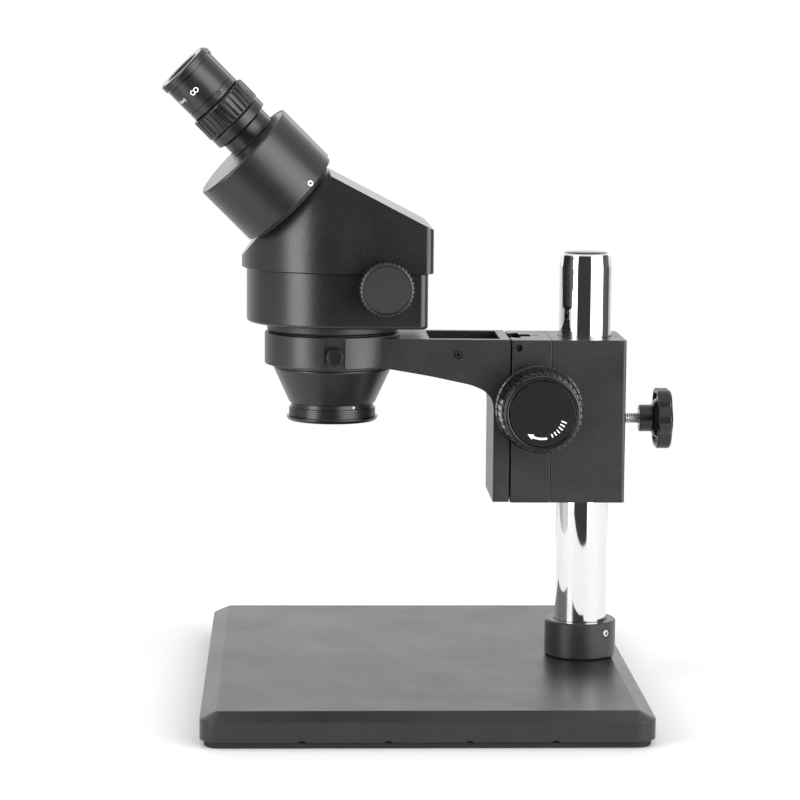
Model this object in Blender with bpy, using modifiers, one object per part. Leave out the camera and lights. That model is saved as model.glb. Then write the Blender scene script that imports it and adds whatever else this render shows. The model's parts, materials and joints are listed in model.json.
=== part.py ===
"""A stereo zoom microscope on a pillar stand, as an assembly of its separate pieces.

The user sits at -Y and looks along +Y. +X is the user's right and +Z is up. The origin is on the
bench, under the middle of the base. Every object is one piece, in metres.
"""

import math

import bmesh
import bpy
from mathutils import Matrix, Vector

MM = 0.001
GAP = 0.3 * MM

# Stand
BASE_SIZE = (320 * MM, 260 * MM)
BASE_CORNER = 12 * MM
BASE_BOTTOM = 3.8 * MM
BASE_EDGE_TOP = 15.5 * MM
BASE_TOP = 20 * MM
BASE_BEVEL = 9.7 * MM
PAD_INSET = 2.5 * MM
PILLAR_Y = 101.8 * MM
PILLAR_RADIUS = 16 * MM
PILLAR_TOP = 268.3 * MM
COLLAR_RADIUS = 22 * MM
COLLAR_TOP = 42.7 * MM
BOLT_RADIUS = 4 * MM
BOLT_HEAD_RADIUS = 6.5 * MM
CAP_SPIGOT_RADIUS = 8 * MM

# Focus block: the clamp block holds the pillar, the rack housing holds the pinion
BLOCK_HALF_WIDTH = 29.5 * MM
BLOCK_BOTTOM = 120 * MM
BLOCK_TOP = 219.3 * MM
BLOCK_FRONT = 54.7 * MM
BLOCK_SEAM = 79 * MM
BLOCK_BACK = 124.5 * MM
BLOCK_BORE = 16.6 * MM
CLAMP_Z = 168.3 * MM
CLAMP_BOLT_RADIUS = 3.25 * MM
STAR_RADIUS = 19.5 * MM
STAR_FRONT = 146.3 * MM
STAR_BACK = 156.8 * MM
STAR_LOBES = 6

# Rack and pinion
PINION_Y = 71 * MM
PINION_Z = 178.5 * MM
TOOTH_MODULE = 1 * MM
PINION_TEETH = 12
PITCH_RADIUS = PINION_TEETH * TOOTH_MODULE / 2
TOOTH_HEIGHT = 0.8 * MM
TOOTH_DEPTH = 1.0 * MM
SHAFT_RADIUS = 4.5 * MM
FOCUS_KNOB_RADIUS = 26.5 * MM
FOCUS_KNOB_INNER = 33.5 * MM
FOCUS_KNOB_OUTER = 61.5 * MM
RACK_TEETH = 20
# How far the top of the dovetail rail lies below the top of the carriage
RAIL_DROP = 6.5 * MM

# Carriage and arm
ARM_HALF_WIDTH = 30 * MM
CARRIAGE_FRONT = 44 * MM
CARRIAGE_BACK = 53.8 * MM
CARRIAGE_BOTTOM = 120.5 * MM
CARRIAGE_TOP = 219.5 * MM
RING_Y = -53.3 * MM
RING_RADIUS = 41.5 * MM
RING_BORE = 38 * MM
RING_BOTTOM = 202 * MM
RING_TOP = 221.5 * MM
LOCK_Y = -52.5 * MM
LOCK_Z = 210.6 * MM

# Head
BODY_HALF_WIDTH = 58 * MM
BODY_FRONT = -105.8 * MM
BODY_BACK = 2.5 * MM
BODY_BOTTOM = 228 * MM
BODY_TOP = 261 * MM
COVER_OVERHANG = 3 * MM
SHELL_WALL = 4 * MM
APEX = (-55.4 * MM, 318.7 * MM)
ROOF_BACK = (5.4 * MM, 287.3 * MM)
SLOPE_FOOT = (-100.2 * MM, 279.4 * MM)
CHIN_FOOT = (-108.8 * MM, 268 * MM)
CHANNEL_X = 16 * MM
ZOOM_Y = -22.5 * MM
ZOOM_Z = 253 * MM
ZOOM_SHAFT_RADIUS = 4 * MM
ZOOM_KNOB_RADIUS = 16.3 * MM
ZOOM_KNOB_INNER = 62.3 * MM
ZOOM_KNOB_OUTER = 75 * MM

# Eyepiece tubes: "along" runs up the tilted axis and "across" is square to it, both from the origin
TILT = math.radians(45)
SPLAY = math.radians(6)
DRUM_X = 34.2 * MM
DRUM_ACROSS = 158.4 * MM
DRUM_RADIUS = 33.7 * MM
DRUM_BOTTOM = 271.2 * MM
DRUM_TOP = 311.35 * MM
EYE_X = 20 * MM
EYE_ACROSS = 168.1 * MM
EYE_TOP = 370.4 * MM

SIDES = {"left": -1, "right": 1}
PARTS = "stereo_microscope"
CUTTERS = "stereo_microscope_cutters"

# name: colour, roughness, metallic
FINISHES = {
    "black_paint": ((0.030, 0.031, 0.033), 0.55, 0.0),
    "black_plastic": ((0.016, 0.016, 0.018), 0.35, 0.0),
    "black_anodised": ((0.020, 0.021, 0.023), 0.38, 0.6),
    "rubber": ((0.012, 0.012, 0.012), 0.9, 0.0),
    "chrome": ((0.86, 0.87, 0.88), 0.05, 1.0),
    "zinc": ((0.62, 0.63, 0.64), 0.3, 1.0),
    "brass": ((0.72, 0.53, 0.22), 0.3, 1.0),
    "glass": ((0.80, 0.88, 0.92), 0.02, 0.0),
}


# ---------------------------------------------------------------- helpers


def clear_scene():
    for obj in list(bpy.data.objects):
        bpy.data.objects.remove(obj, do_unlink=True)


def new_collection(name):
    collection = bpy.data.collections.new(name)
    bpy.context.scene.collection.children.link(collection)
    return collection


def finish_material(finish):
    """The finish's Principled material, made once and shared."""
    material = bpy.data.materials.get(finish)
    if material:
        return material
    colour, roughness, metallic = FINISHES[finish]
    material = bpy.data.materials.new(finish)
    material.use_nodes = True
    shader = material.node_tree.nodes["Principled BSDF"]
    shader.inputs["Base Color"].default_value = (*colour, 1)
    shader.inputs["Roughness"].default_value = roughness
    shader.inputs["Metallic"].default_value = metallic
    material.diffuse_color = (*colour, 1)
    return material


def add_object(name, mesh, finish, place):
    """Links a mesh as a part, or as a hidden cutter where it has no finish."""
    obj = bpy.data.objects.new(name, mesh)
    obj.matrix_world = place
    if finish:
        mesh.materials.append(finish_material(finish))
        bpy.data.collections[PARTS].objects.link(obj)
    else:
        obj.hide_render = True
        obj.display_type = "WIRE"
        bpy.data.collections[CUTTERS].objects.link(obj)
    return obj


def shade(mesh):
    mesh.shade_smooth()
    mesh.set_sharp_from_angle(angle=math.radians(35))


def box(name, low, high, finish, place=Matrix(), bevel=0.0):
    """A block between two corners, with its edges chamfered by bevel."""
    low, high = Vector(low), Vector(high)
    size = high - low
    work = bmesh.new()
    at = Matrix.Translation((low + high) / 2) @ Matrix.Diagonal((*size, 1))
    bmesh.ops.create_cube(work, size=1, matrix=at)
    if bevel:
        bmesh.ops.bevel(work, geom=work.edges[:], offset=bevel, segments=1, affect="EDGES")
    mesh = bpy.data.meshes.new(name)
    work.to_mesh(mesh)
    work.free()
    return add_object(name, mesh, finish, place)


def turned(name, profile, finish, place=Matrix(), steps=32):
    """A turned piece. Its profile of (radius, height) points runs down the outer side."""
    mesh = bpy.data.meshes.new(name)
    count = len(profile)
    closed = profile[0][0] > 0 or profile[-1][0] > 0
    edges = [(i, i + 1) for i in range(count - 1)]
    if closed:
        edges.append((count - 1, 0))
    mesh.from_pydata([(radius, 0, height) for radius, height in profile], edges, [])
    obj = add_object(name, mesh, finish, place)
    screw = obj.modifiers.new("turn", "SCREW")
    screw.steps = steps
    screw.render_steps = steps
    screw.use_merge_vertices = True
    screw.merge_threshold = 0.00001
    screw.use_smooth_shade = steps > 8
    return obj


def rod(name, radius, bottom, top, finish, place=Matrix(), steps=24):
    profile = [(0, top), (radius, top), (radius, bottom), (0, bottom)]
    return turned(name, profile, finish, place, steps)


def ring(name, outer, inner, bottom, top, finish, place=Matrix(), steps=32):
    profile = [(outer, top), (outer, bottom), (inner, bottom), (inner, top)]
    return turned(name, profile, finish, place, steps)


def extruded(name, outlines, bottom, top, finish, place=Matrix()):
    """A flat outline, and the outlines of its holes, extruded from bottom to top."""
    curve = bpy.data.curves.new(name, "CURVE")
    curve.dimensions = "2D"
    curve.fill_mode = "BOTH"
    curve.extrude = (top - bottom) / 2
    for outline in outlines:
        spline = curve.splines.new("POLY")
        spline.points.add(len(outline) - 1)
        for point, (x, y) in zip(spline.points, outline):
            point.co = (x, y, 0, 1)
        spline.use_cyclic_u = True
    guide = bpy.data.objects.new(name + "_outline", curve)
    bpy.context.scene.collection.objects.link(guide)
    bpy.context.view_layer.update()
    evaluated = guide.evaluated_get(bpy.context.evaluated_depsgraph_get())
    mesh = bpy.data.meshes.new_from_object(evaluated)
    bpy.data.objects.remove(guide, do_unlink=True)
    work = bmesh.new()
    work.from_mesh(mesh)
    bmesh.ops.remove_doubles(work, verts=work.verts, dist=0.000001)
    bmesh.ops.translate(work, verts=work.verts, vec=(0, 0, (top + bottom) / 2))
    bmesh.ops.recalc_face_normals(work, faces=work.faces)
    work.to_mesh(mesh)
    work.free()
    mesh.name = name
    mesh.materials.clear()
    return add_object(name, mesh, finish, place)


def combine(obj, other, operation, solver="EXACT"):
    boolean = obj.modifiers.new(other.name, "BOOLEAN")
    boolean.operation = operation
    boolean.solver = solver
    boolean.object = other


def cut(obj, *cutters, solver="EXACT"):
    for cutter in cutters:
        combine(obj, cutter, "DIFFERENCE", solver)


def join(obj, *others):
    for other in others:
        combine(obj, other, "UNION")


def arc(centre, radius, start, end, steps):
    """Points along an arc, with its angles in degrees."""
    points = []
    for step in range(steps + 1):
        angle = math.radians(start + (end - start) * step / steps)
        x = centre[0] + radius * math.cos(angle)
        y = centre[1] + radius * math.sin(angle)
        points.append((x, y))
    return points


def circle(centre, radius, steps):
    return arc(centre, radius, 0, 360, steps)[:-1]


def rounded_rectangle(width, depth, corner, steps=4):
    points = []
    for quarter, (side, end) in enumerate(((1, 1), (-1, 1), (-1, -1), (1, -1))):
        centre = (side * (width / 2 - corner), end * (depth / 2 - corner))
        points += arc(centre, corner, 90 * quarter, 90 * quarter + 90, steps)
    return points


def along_x(side=1, y=0.0, z=0.0):
    """Local +Z points to the user's right, or to the left where side is -1."""
    return Matrix.Translation((0, y, z)) @ Matrix.Rotation(side * math.pi / 2, 4, "Y")


def along_y(x=0.0, z=0.0):
    """Local +Z points back, away from the user."""
    return Matrix.Translation((x, 0, z)) @ Matrix.Rotation(-math.pi / 2, 4, "X")


def side_profile():
    """Local X runs along world Y, local Y up, and local Z to the user's right."""
    return Matrix(((0, 0, 1, 0), (1, 0, 0, 0), (0, 1, 0, 0), (0, 0, 0, 1)))


def tilted(side, x, across):
    """Local +Z runs up an eyepiece axis, which leans towards the user and splays outwards.

    The splay turns everything about the middle of the bottom of that side's drum."""
    foot = Vector((side * x, across * math.cos(TILT), across * math.sin(TILT)))
    middle = Matrix.Translation((side * (DRUM_X - x), 0, DRUM_BOTTOM))
    splay = middle @ Matrix.Rotation(side * SPLAY, 4, "Y") @ middle.inverted()
    return Matrix.Translation(foot) @ Matrix.Rotation(TILT, 4, "X") @ splay


def socket_screw(name, place, head, shank, steps=10):
    """A cap screw. head and shank are (radius, length).

    The place has local +Z out of the head, and its origin under the head."""
    socket = head[0] * 0.5
    socket_floor = head[1] * 0.45
    profile = [
        (0, socket_floor),
        (socket, socket_floor),
        (socket, head[1]),
        (head[0], head[1]),
        (head[0], 0),
        (shank[0], 0),
        (shank[0], -shank[1]),
        (0, -shank[1]),
    ]
    turned(name, profile, "zinc", place, steps)


# ---------------------------------------------------------------- stand


def base():
    width, depth = BASE_SIZE
    plate = extruded(
        "base_plate",
        [rounded_rectangle(width, depth, BASE_CORNER)],
        BASE_BOTTOM,
        BASE_EDGE_TOP,
        "black_paint",
    )
    work = bmesh.new()
    work.from_mesh(plate.data)
    top = [face for face in work.faces if face.normal.z > 0.9]
    bmesh.ops.inset_region(work, faces=top, thickness=BASE_BEVEL, use_even_offset=True)
    raised = {vert for face in top for vert in face.verts}
    bmesh.ops.translate(work, verts=list(raised), vec=(0, 0, BASE_TOP - BASE_EDGE_TOP))
    work.to_mesh(plate.data)
    work.free()
    at = Matrix.Translation((0, PILLAR_Y, 0))
    head_seat = 12.3 * MM
    counterbore = rod("base_counterbore", 9 * MM, 0, head_seat, None, at)
    bolt_hole = rod("base_bolt_hole", BOLT_RADIUS + 2 * GAP, 0, 2 * BASE_TOP, None, at)
    cut(plate, counterbore, bolt_hole)
    inset = 2 * PAD_INSET
    extruded(
        "base_pad",
        [
            rounded_rectangle(width - inset, depth - inset, BASE_CORNER - PAD_INSET),
            circle((0, PILLAR_Y), 10 * MM, 24),
        ],
        0,
        BASE_BOTTOM - GAP,
        "rubber",
    )
    head = (BOLT_HEAD_RADIUS, 7 * MM)
    upside_down = at @ Matrix.Translation((0, 0, head_seat - GAP)) @ Matrix.Rotation(math.pi, 4, "X")
    socket_screw("pillar_bolt", upside_down, head, (BOLT_RADIUS, 34 * MM), 14)


def collar():
    at = Matrix.Translation((0, PILLAR_Y, 0))
    bore = PILLAR_RADIUS + GAP
    chamfer = 0.6 * MM
    bottom = BASE_TOP + GAP
    body = turned(
        "pillar_collar",
        [
            (COLLAR_RADIUS - chamfer, COLLAR_TOP),
            (COLLAR_RADIUS, COLLAR_TOP - chamfer),
            (COLLAR_RADIUS, bottom),
            (bore, bottom),
            (bore, COLLAR_TOP),
        ],
        "black_anodised",
        at,
        32,
    )
    outwards = at @ Matrix.Rotation(math.radians(43), 4, "Z") @ along_x(1, 0, 36 * MM)
    cut(body, rod("collar_screw_hole", 2.7 * MM, 10 * MM, 30 * MM, None, outwards, 16))
    turned(
        "collar_set_screw",
        [
            (0, 19.5 * MM),
            (1.3 * MM, 19.5 * MM),
            (1.3 * MM, 21.6 * MM),
            (2.4 * MM, 21.6 * MM),
            (2.4 * MM, bore + GAP),
            (0, bore + GAP),
        ],
        "zinc",
        outwards,
        12,
    )


def pillar():
    at = Matrix.Translation((0, PILLAR_Y, 0))
    socket = CAP_SPIGOT_RADIUS + GAP
    socket_floor = PILLAR_TOP - 11 * MM
    thread = BOLT_RADIUS + 0.4 * MM
    thread_top = 50 * MM
    foot = BASE_TOP + GAP
    turned(
        "pillar",
        [
            (0, socket_floor),
            (socket, socket_floor),
            (socket, PILLAR_TOP),
            (PILLAR_RADIUS - 0.9 * MM, PILLAR_TOP),
            (PILLAR_RADIUS, PILLAR_TOP - 9 * MM),
            (PILLAR_RADIUS, foot),
            (thread, foot),
            (thread, thread_top),
            (0, thread_top),
        ],
        "chrome",
        at,
        28,
    )
    turned(
        "pillar_cap",
        [
            (0, PILLAR_TOP + 1.6 * MM),
            (8 * MM, PILLAR_TOP + 1.4 * MM),
            (13 * MM, PILLAR_TOP + 1 * MM),
            (14.9 * MM, PILLAR_TOP + GAP),
            (CAP_SPIGOT_RADIUS, PILLAR_TOP + GAP),
            (CAP_SPIGOT_RADIUS, socket_floor + GAP),
            (0, socket_floor + GAP),
        ],
        "black_plastic",
        at,
        24,
    )


# ---------------------------------------------------------------- focus block

# Dovetail slot in the front of the rack housing: half widths, and depths behind the front face
SLOT_MOUTH = 12 * MM
SLOT_FLOOR = 16 * MM
SLOT_DEPTH = 6.8 * MM
RACK_CHANNEL = 7 * MM
CHANNEL_DEPTH = 13.3 * MM
SLIT = 1 * MM
SLIT_DEPTH = 18.3 * MM
BUSH_RADIUS = 6.8 * MM
GIB_Y = 59 * MM
GIB_Z = 214.6 * MM
JOINING_SCREWS = {"upper": (-22.5 * MM, 209 * MM), "lower": (22.5 * MM, 130 * MM)}


def clamp_block():
    half = BLOCK_HALF_WIDTH
    chamfer = 1.2 * MM
    front = BLOCK_SEAM + GAP
    outline = [
        (half, front),
        (half, BLOCK_BACK - chamfer),
        (half - chamfer, BLOCK_BACK),
        (chamfer - half, BLOCK_BACK),
        (-half, BLOCK_BACK - chamfer),
        (-half, front),
    ]
    bore = circle((0, PILLAR_Y), BLOCK_BORE, 32)
    block = extruded("clamp_block", [outline, bore], BLOCK_BOTTOM, BLOCK_TOP, "black_paint")
    hole = CLAMP_BOLT_RADIUS + GAP + 0.1 * MM
    cut(block, rod("clamp_hole", hole, 112 * MM, 130 * MM, None, along_y(0, CLAMP_Z), 20))
    for name, (x, z) in JOINING_SCREWS.items():
        thread = rod(f"block_thread_{name}", 2.8 * MM, 75 * MM, 93 * MM, None, along_y(x, z), 12)
        cut(block, thread)


def rack_housing():
    half = BLOCK_HALF_WIDTH
    front = BLOCK_FRONT
    right_side = [
        (half, BLOCK_SEAM),
        (half, front),
        (SLOT_MOUTH, front),
        (SLOT_FLOOR, front + SLOT_DEPTH),
        (RACK_CHANNEL, front + SLOT_DEPTH),
        (RACK_CHANNEL, front + CHANNEL_DEPTH),
        (SLIT, front + CHANNEL_DEPTH),
        (SLIT, front + SLIT_DEPTH),
    ]
    left_side = [(-x, y) for x, y in reversed(right_side)]
    outline = right_side + left_side
    housing = extruded("rack_housing", [outline], BLOCK_BOTTOM, BLOCK_TOP, "black_paint")
    reach = PITCH_RADIUS + TOOTH_HEIGHT + 0.6 * MM
    pocket = box(
        "pinion_pocket",
        (-6.7 * MM, PINION_Y - reach, PINION_Z - reach),
        (6.7 * MM, PINION_Y + reach, PINION_Z + reach),
        None,
    )
    cross = along_x(1, PINION_Y, PINION_Z)
    bush_hole = rod("bush_hole", BUSH_RADIUS + GAP, -40 * MM, 40 * MM, None, cross, 28)
    cut(housing, pocket, bush_hole)
    facing_front = Matrix.Rotation(math.pi, 4, "X")
    for name, (x, z) in JOINING_SCREWS.items():
        at = along_y(x, z)
        through = rod(f"joining_hole_{name}", 2.8 * MM, 50 * MM, 85 * MM, None, at, 12)
        seat = rod(f"joining_seat_{name}", 4.6 * MM, 50 * MM, 60.3 * MM, None, at, 14)
        cut(housing, through, seat)
        under_head = at @ Matrix.Translation((0, 0, 60 * MM)) @ facing_front
        socket_screw(f"housing_screw_{name}", under_head, (4.2 * MM, 4.6 * MM), (2.4 * MM, 31 * MM))
    gib = along_x(1, GIB_Y, GIB_Z)
    cut(housing, rod("gib_hole", 2.2 * MM, 12 * MM, 31 * MM, None, gib, 12))
    under_head = gib @ Matrix.Translation((0, 0, 24 * MM))
    socket_screw("gib_screw", under_head, (1.8 * MM, 3 * MM), (1.7 * MM, 7.5 * MM))


def bushes():
    bore = SHAFT_RADIUS + 0.2 * MM
    flange = 10 * MM
    face = BLOCK_HALF_WIDTH + GAP
    for name, side in SIDES.items():
        turned(
            f"pinion_bush_{name}",
            [
                (flange, face + 1.6 * MM),
                (flange, face),
                (BUSH_RADIUS, face),
                (BUSH_RADIUS, 7.2 * MM),
                (bore, 7.2 * MM),
                (bore, face + 1.6 * MM),
            ],
            "brass",
            along_x(side, PINION_Y, PINION_Z),
            20,
        )


def clamp_screw():
    at = along_y(0, CLAMP_Z)
    tip = PILLAR_Y + PILLAR_RADIUS + GAP
    rod("clamp_bolt", CLAMP_BOLT_RADIUS, tip, 150 * MM, "zinc", at, 20)
    hub = 8.3 * MM
    hub_front = 136 * MM
    head = []
    steps = 8 * STAR_LOBES
    flute = 2.1 * MM
    for step in range(steps):
        angle = 2 * math.pi * step / steps
        dip = 0.5 - 0.5 * math.cos(STAR_LOBES * angle)
        radius = STAR_RADIUS - flute * dip**2
        head.append((radius * math.cos(angle), radius * math.sin(angle)))
    knob = extruded("clamp_knob", [head], STAR_FRONT, STAR_BACK, "black_plastic", at)
    join(knob, rod("clamp_hub", hub, hub_front, STAR_FRONT + 2 * MM, None, at, 24))
    bore = CLAMP_BOLT_RADIUS + GAP
    clamp_bore = rod("clamp_bore", bore, hub_front - 5 * MM, 150.5 * MM, None, at, 16)
    cut(knob, clamp_bore, solver="MANIFOLD")


# ---------------------------------------------------------------- rack, pinion and focus knobs


def pinion():
    """The shaft with its teeth. One tooth points at the rack."""
    at = along_x(1, PINION_Y, PINION_Z)
    outline = []
    pitch = 2 * math.pi / PINION_TEETH
    root = PITCH_RADIUS - TOOTH_DEPTH
    crest = PITCH_RADIUS + TOOTH_HEIGHT
    for tooth in range(PINION_TEETH):
        middle = tooth * pitch
        for offset, radius in ((-0.20, root), (-0.09, crest), (0.09, crest), (0.20, root)):
            angle = middle + offset * pitch
            outline.append((radius * math.cos(angle), radius * math.sin(angle)))
    turn = at @ Matrix.Rotation(math.pi / 2, 4, "Z")
    shaft = extruded("pinion_shaft", [outline], -6 * MM, 6 * MM, "zinc", turn)
    end = 57.2 * MM
    join(shaft, rod("pinion_rod", SHAFT_RADIUS, -end, end, None, at, 24))


def focus_knobs():
    bore = SHAFT_RADIUS + 0.2 * MM
    recess = 57.5 * MM
    for name, side in SIDES.items():
        at = along_x(side, PINION_Y, PINION_Z)
        outer = FOCUS_KNOB_OUTER
        inner = FOCUS_KNOB_INNER
        radius = FOCUS_KNOB_RADIUS
        turned(
            f"focus_knob_{name}",
            [
                (22.6 * MM, outer),
                (22.6 * MM, outer - 5 * MM),
                (radius, outer - 7 * MM),
                (radius, inner),
                (bore, inner),
                (bore, recess),
                (20.2 * MM, recess),
                (20.2 * MM, outer),
            ],
            "black_plastic",
            at,
            28,
        )
        top = outer - 0.9 * MM
        rod(f"focus_cap_{name}", 19.8 * MM, recess + GAP, top, "black_plastic", at, 24)


def rack():
    """Teeth cover the middle of the rack, and a gap between two faces the pinion's tooth."""
    pitch = math.pi * TOOTH_MODULE
    pitch_line = PINION_Y - PITCH_RADIUS
    root = pitch_line - TOOTH_DEPTH
    crest = pitch_line + TOOTH_HEIGHT
    back = 58 * MM
    top = CARRIAGE_TOP - RAIL_DROP - 0.5 * MM
    bottom = CARRIAGE_BOTTOM + 1 * MM
    outline = [(back, top), (back, bottom), (root, bottom)]
    for tooth in range(RACK_TEETH):
        middle = PINION_Z + (tooth - RACK_TEETH / 2 + 0.5) * pitch
        for offset, depth in ((-0.19, root), (-0.09, crest), (0.09, crest), (0.19, root)):
            outline.append((depth, middle + offset * pitch))
    outline.append((root, top))
    half = 5 * MM
    extruded("focus_rack", [outline], -half, half, "zinc", side_profile())


# ---------------------------------------------------------------- arm


def focus_arm():
    """One casting: head ring, trough-shaped arm, carriage plate and dovetail."""
    inside_ring = -28 * MM
    profile = [
        (inside_ring, 219.8 * MM),
        (inside_ring, 202.4 * MM),
        (-21.3 * MM, 201.8 * MM),
        (5.3 * MM, 197.3 * MM),
        (30.8 * MM, 191.9 * MM),
        (38.2 * MM, 188.6 * MM),
        (42 * MM, 184.8 * MM),
        (43.6 * MM, 181 * MM),
        (CARRIAGE_FRONT, 176 * MM),
        (CARRIAGE_FRONT, CARRIAGE_BOTTOM),
        (CARRIAGE_BACK, CARRIAGE_BOTTOM),
        (CARRIAGE_BACK, CARRIAGE_TOP),
    ]
    half = ARM_HALF_WIDTH
    arm = extruded("focus_arm", [profile], -half, half, "black_paint", side_profile())
    at_ring = Matrix.Translation((0, RING_Y, 0))
    boss = rod("ring_boss", RING_RADIUS, RING_BOTTOM, RING_TOP, None, at_ring, 40)
    rail_back = BLOCK_FRONT + SLOT_DEPTH - 0.4 * MM
    flare = (SLOT_FLOOR - SLOT_MOUTH) / SLOT_DEPTH
    running = 0.4 * MM
    root = CARRIAGE_BACK - GAP
    right_side = [
        (SLOT_MOUTH + (root - BLOCK_FRONT) * flare - running, root),
        (SLOT_MOUTH + (rail_back - BLOCK_FRONT) * flare - running, rail_back),
        (5.3 * MM, rail_back),
        (5.3 * MM, 57.7 * MM),
    ]
    left_side = [(-x, y) for x, y in reversed(right_side)]
    rail_bottom = CARRIAGE_BOTTOM + 0.5 * MM
    rail_top = CARRIAGE_TOP - RAIL_DROP
    rail = extruded("rail", [right_side + left_side], rail_bottom, rail_top, None)
    join(arm, boss, rail)
    trough_profile = [
        (5 * MM, 230 * MM),
        (5 * MM, 202.8 * MM),
        (30.8 * MM, 197.4 * MM),
        (41 * MM, 192.4 * MM),
        (48 * MM, 184 * MM),
        (48 * MM, 230 * MM),
    ]
    trough_half = 24 * MM
    trough = extruded("trough", [trough_profile], -trough_half, trough_half, None, side_profile())
    bore = rod("ring_bore", RING_BORE, 190 * MM, 230 * MM, None, at_ring, 40)
    notch = box("lock_flat", (40.2 * MM, -58.7 * MM, 195 * MM), (45 * MM, -46.3 * MM, 230 * MM), None)
    lock_hole = rod("lock_hole", 2.8 * MM, 30 * MM, 45 * MM, None, along_x(1, LOCK_Y, LOCK_Z), 16)
    side_screw = along_x(1, 22.1 * MM, 210.5 * MM)
    side_hole = rod("arm_screw_hole", 2.7 * MM, 20 * MM, 35 * MM, None, side_screw, 16)
    cut(arm, trough, bore, notch, lock_hole, side_hole, solver="MANIFOLD")
    seat = side_screw @ Matrix.Translation((0, 0, 26.5 * MM))
    socket_screw("arm_set_screw", seat, (2.4 * MM, 2.6 * MM), (2.3 * MM, 2 * MM))


def lock_screw():
    """The thumbscrew that clamps the head in the ring: a head and a stud in one piece."""
    face = 48.5 * MM
    foot = 40.7 * MM
    radius = 5.5 * MM
    chamfer = 0.6 * MM
    stud = 2.4 * MM
    turned(
        "lock_screw",
        [
            (0, face),
            (radius - chamfer, face),
            (radius, face - chamfer),
            (radius, foot + chamfer),
            (radius - chamfer, foot),
            (stud, foot),
            (stud, 38 * MM),
            (0, 38 * MM),
        ],
        "black_anodised",
        along_x(1, LOCK_Y, LOCK_Z),
        24,
    )


# ---------------------------------------------------------------- head


def d_outline(grow, corner=5 * MM):
    """The head's plan: a half circle in front, straight sides and a flat back, grown by grow."""
    half = BODY_HALF_WIDTH + grow
    middle = BODY_FRONT + BODY_HALF_WIDTH
    back = BODY_BACK + grow
    points = arc((0, middle), half, 180, 360, 20)
    points += arc((half - corner, back - corner), corner, 0, 90, 2)
    points += arc((corner - half, back - corner), corner, 90, 180, 2)
    return points


def slice_above(obj, first, second):
    """Cuts away what is above the plane through two (y, z) points and parallel to X."""
    run = Vector((0, second[0] - first[0], second[1] - first[1]))
    normal = Vector((1, 0, 0)).cross(run).normalized()
    if normal.z < 0:
        normal = -normal
    work = bmesh.new()
    work.from_mesh(obj.data)
    everything = work.verts[:] + work.edges[:] + work.faces[:]
    result = bmesh.ops.bisect_plane(
        work,
        geom=everything,
        dist=0.0000001,
        plane_co=(0, first[0], first[1]),
        plane_no=normal,
        clear_outer=True,
    )
    rim = [item for item in result["geom_cut"] if isinstance(item, bmesh.types.BMEdge)]
    bmesh.ops.holes_fill(work, edges=rim)
    bmesh.ops.recalc_face_normals(work, faces=work.faces)
    work.to_mesh(obj.data)
    work.free()


def lowered(first, second, depth):
    """The two points of a line moved square to it, downwards, by depth."""
    run = Vector((second[0] - first[0], second[1] - first[1])).normalized()
    down = Vector((run.y, -run.x))
    if down.y > 0:
        down = -down
    shift = down * depth
    return [(point[0] + shift.x, point[1] + shift.y) for point in (first, second)]


def hood(name, grow, bottom, depth, finish):
    """The cover's outer form, or the form of its cavity where depth is above zero."""
    form = extruded(name, [d_outline(grow)], bottom, 330 * MM, finish)
    for first, second in ((APEX, ROOF_BACK), (SLOPE_FOOT, APEX), (CHIN_FOOT, SLOPE_FOOT)):
        slice_above(form, *lowered(first, second, depth))
    return form


def head_body():
    body = extruded("head_body", [d_outline(0)], BODY_BOTTOM, BODY_TOP, "black_paint")
    work = bmesh.new()
    work.from_mesh(body.data)
    bottom = [face for face in work.faces if face.normal.z < -0.9]
    rounding = 3 * MM
    bmesh.ops.inset_region(work, faces=bottom, thickness=rounding, use_even_offset=True)
    lowest = {vert for face in bottom for vert in face.verts}
    for vert in work.verts:
        if vert.co.z < BODY_BOTTOM + 0.01 * MM and vert not in lowest:
            vert.co.z += rounding
    work.to_mesh(body.data)
    work.free()
    floor = BODY_BOTTOM + SHELL_WALL
    cavity = extruded("body_cavity", [d_outline(-SHELL_WALL)], floor, BODY_TOP + 9 * MM, None)
    port = rod("body_port", 31 * MM, 210 * MM, 240 * MM, None, Matrix.Translation((0, RING_Y, 0)), 40)
    across = along_x(1, ZOOM_Y, ZOOM_Z)
    shaft_hole = rod("zoom_hole", ZOOM_SHAFT_RADIUS + GAP, -80 * MM, 80 * MM, None, across, 24)
    cut(body, cavity, port, shaft_hole)


def head_cover():
    grow = COVER_OVERHANG
    cover = hood("head_cover", grow, BODY_TOP + GAP, 0, "black_paint")
    cavity = hood("cover_cavity", grow - SHELL_WALL - 0.5 * MM, BODY_TOP - 5 * MM, SHELL_WALL, None)
    boss_radius = 22 * MM
    boss_top = DRUM_BOTTOM - GAP
    for name, side in SIDES.items():
        at = tilted(side, DRUM_X, DRUM_ACROSS)
        join(cover, rod(f"boss_{name}", boss_radius, 261 * MM, boss_top, None, at, 24))
    cut(cover, cavity, solver="MANIFOLD")
    for name, side in SIDES.items():
        at = tilted(side, DRUM_X, DRUM_ACROSS)
        light_hole = rod(f"light_hole_{name}", 12 * MM, 230 * MM, 280 * MM, None, at, 18)
        cut(cover, light_hole, solver="MANIFOLD")


def mount_flange():
    at = Matrix.Translation((0, RING_Y, 0))
    disc = 40 * MM
    spigot = RING_BORE - 0.5 * MM
    bore = 33 * MM
    underside = RING_TOP + 0.5 * MM
    turned(
        "mount_flange",
        [
            (disc, BODY_BOTTOM - GAP),
            (disc, underside),
            (spigot, underside),
            (spigot, 200.5 * MM),
            (bore, 200.5 * MM),
            (bore, BODY_BOTTOM - GAP),
        ],
        "black_anodised",
        at,
        40,
    )


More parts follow.
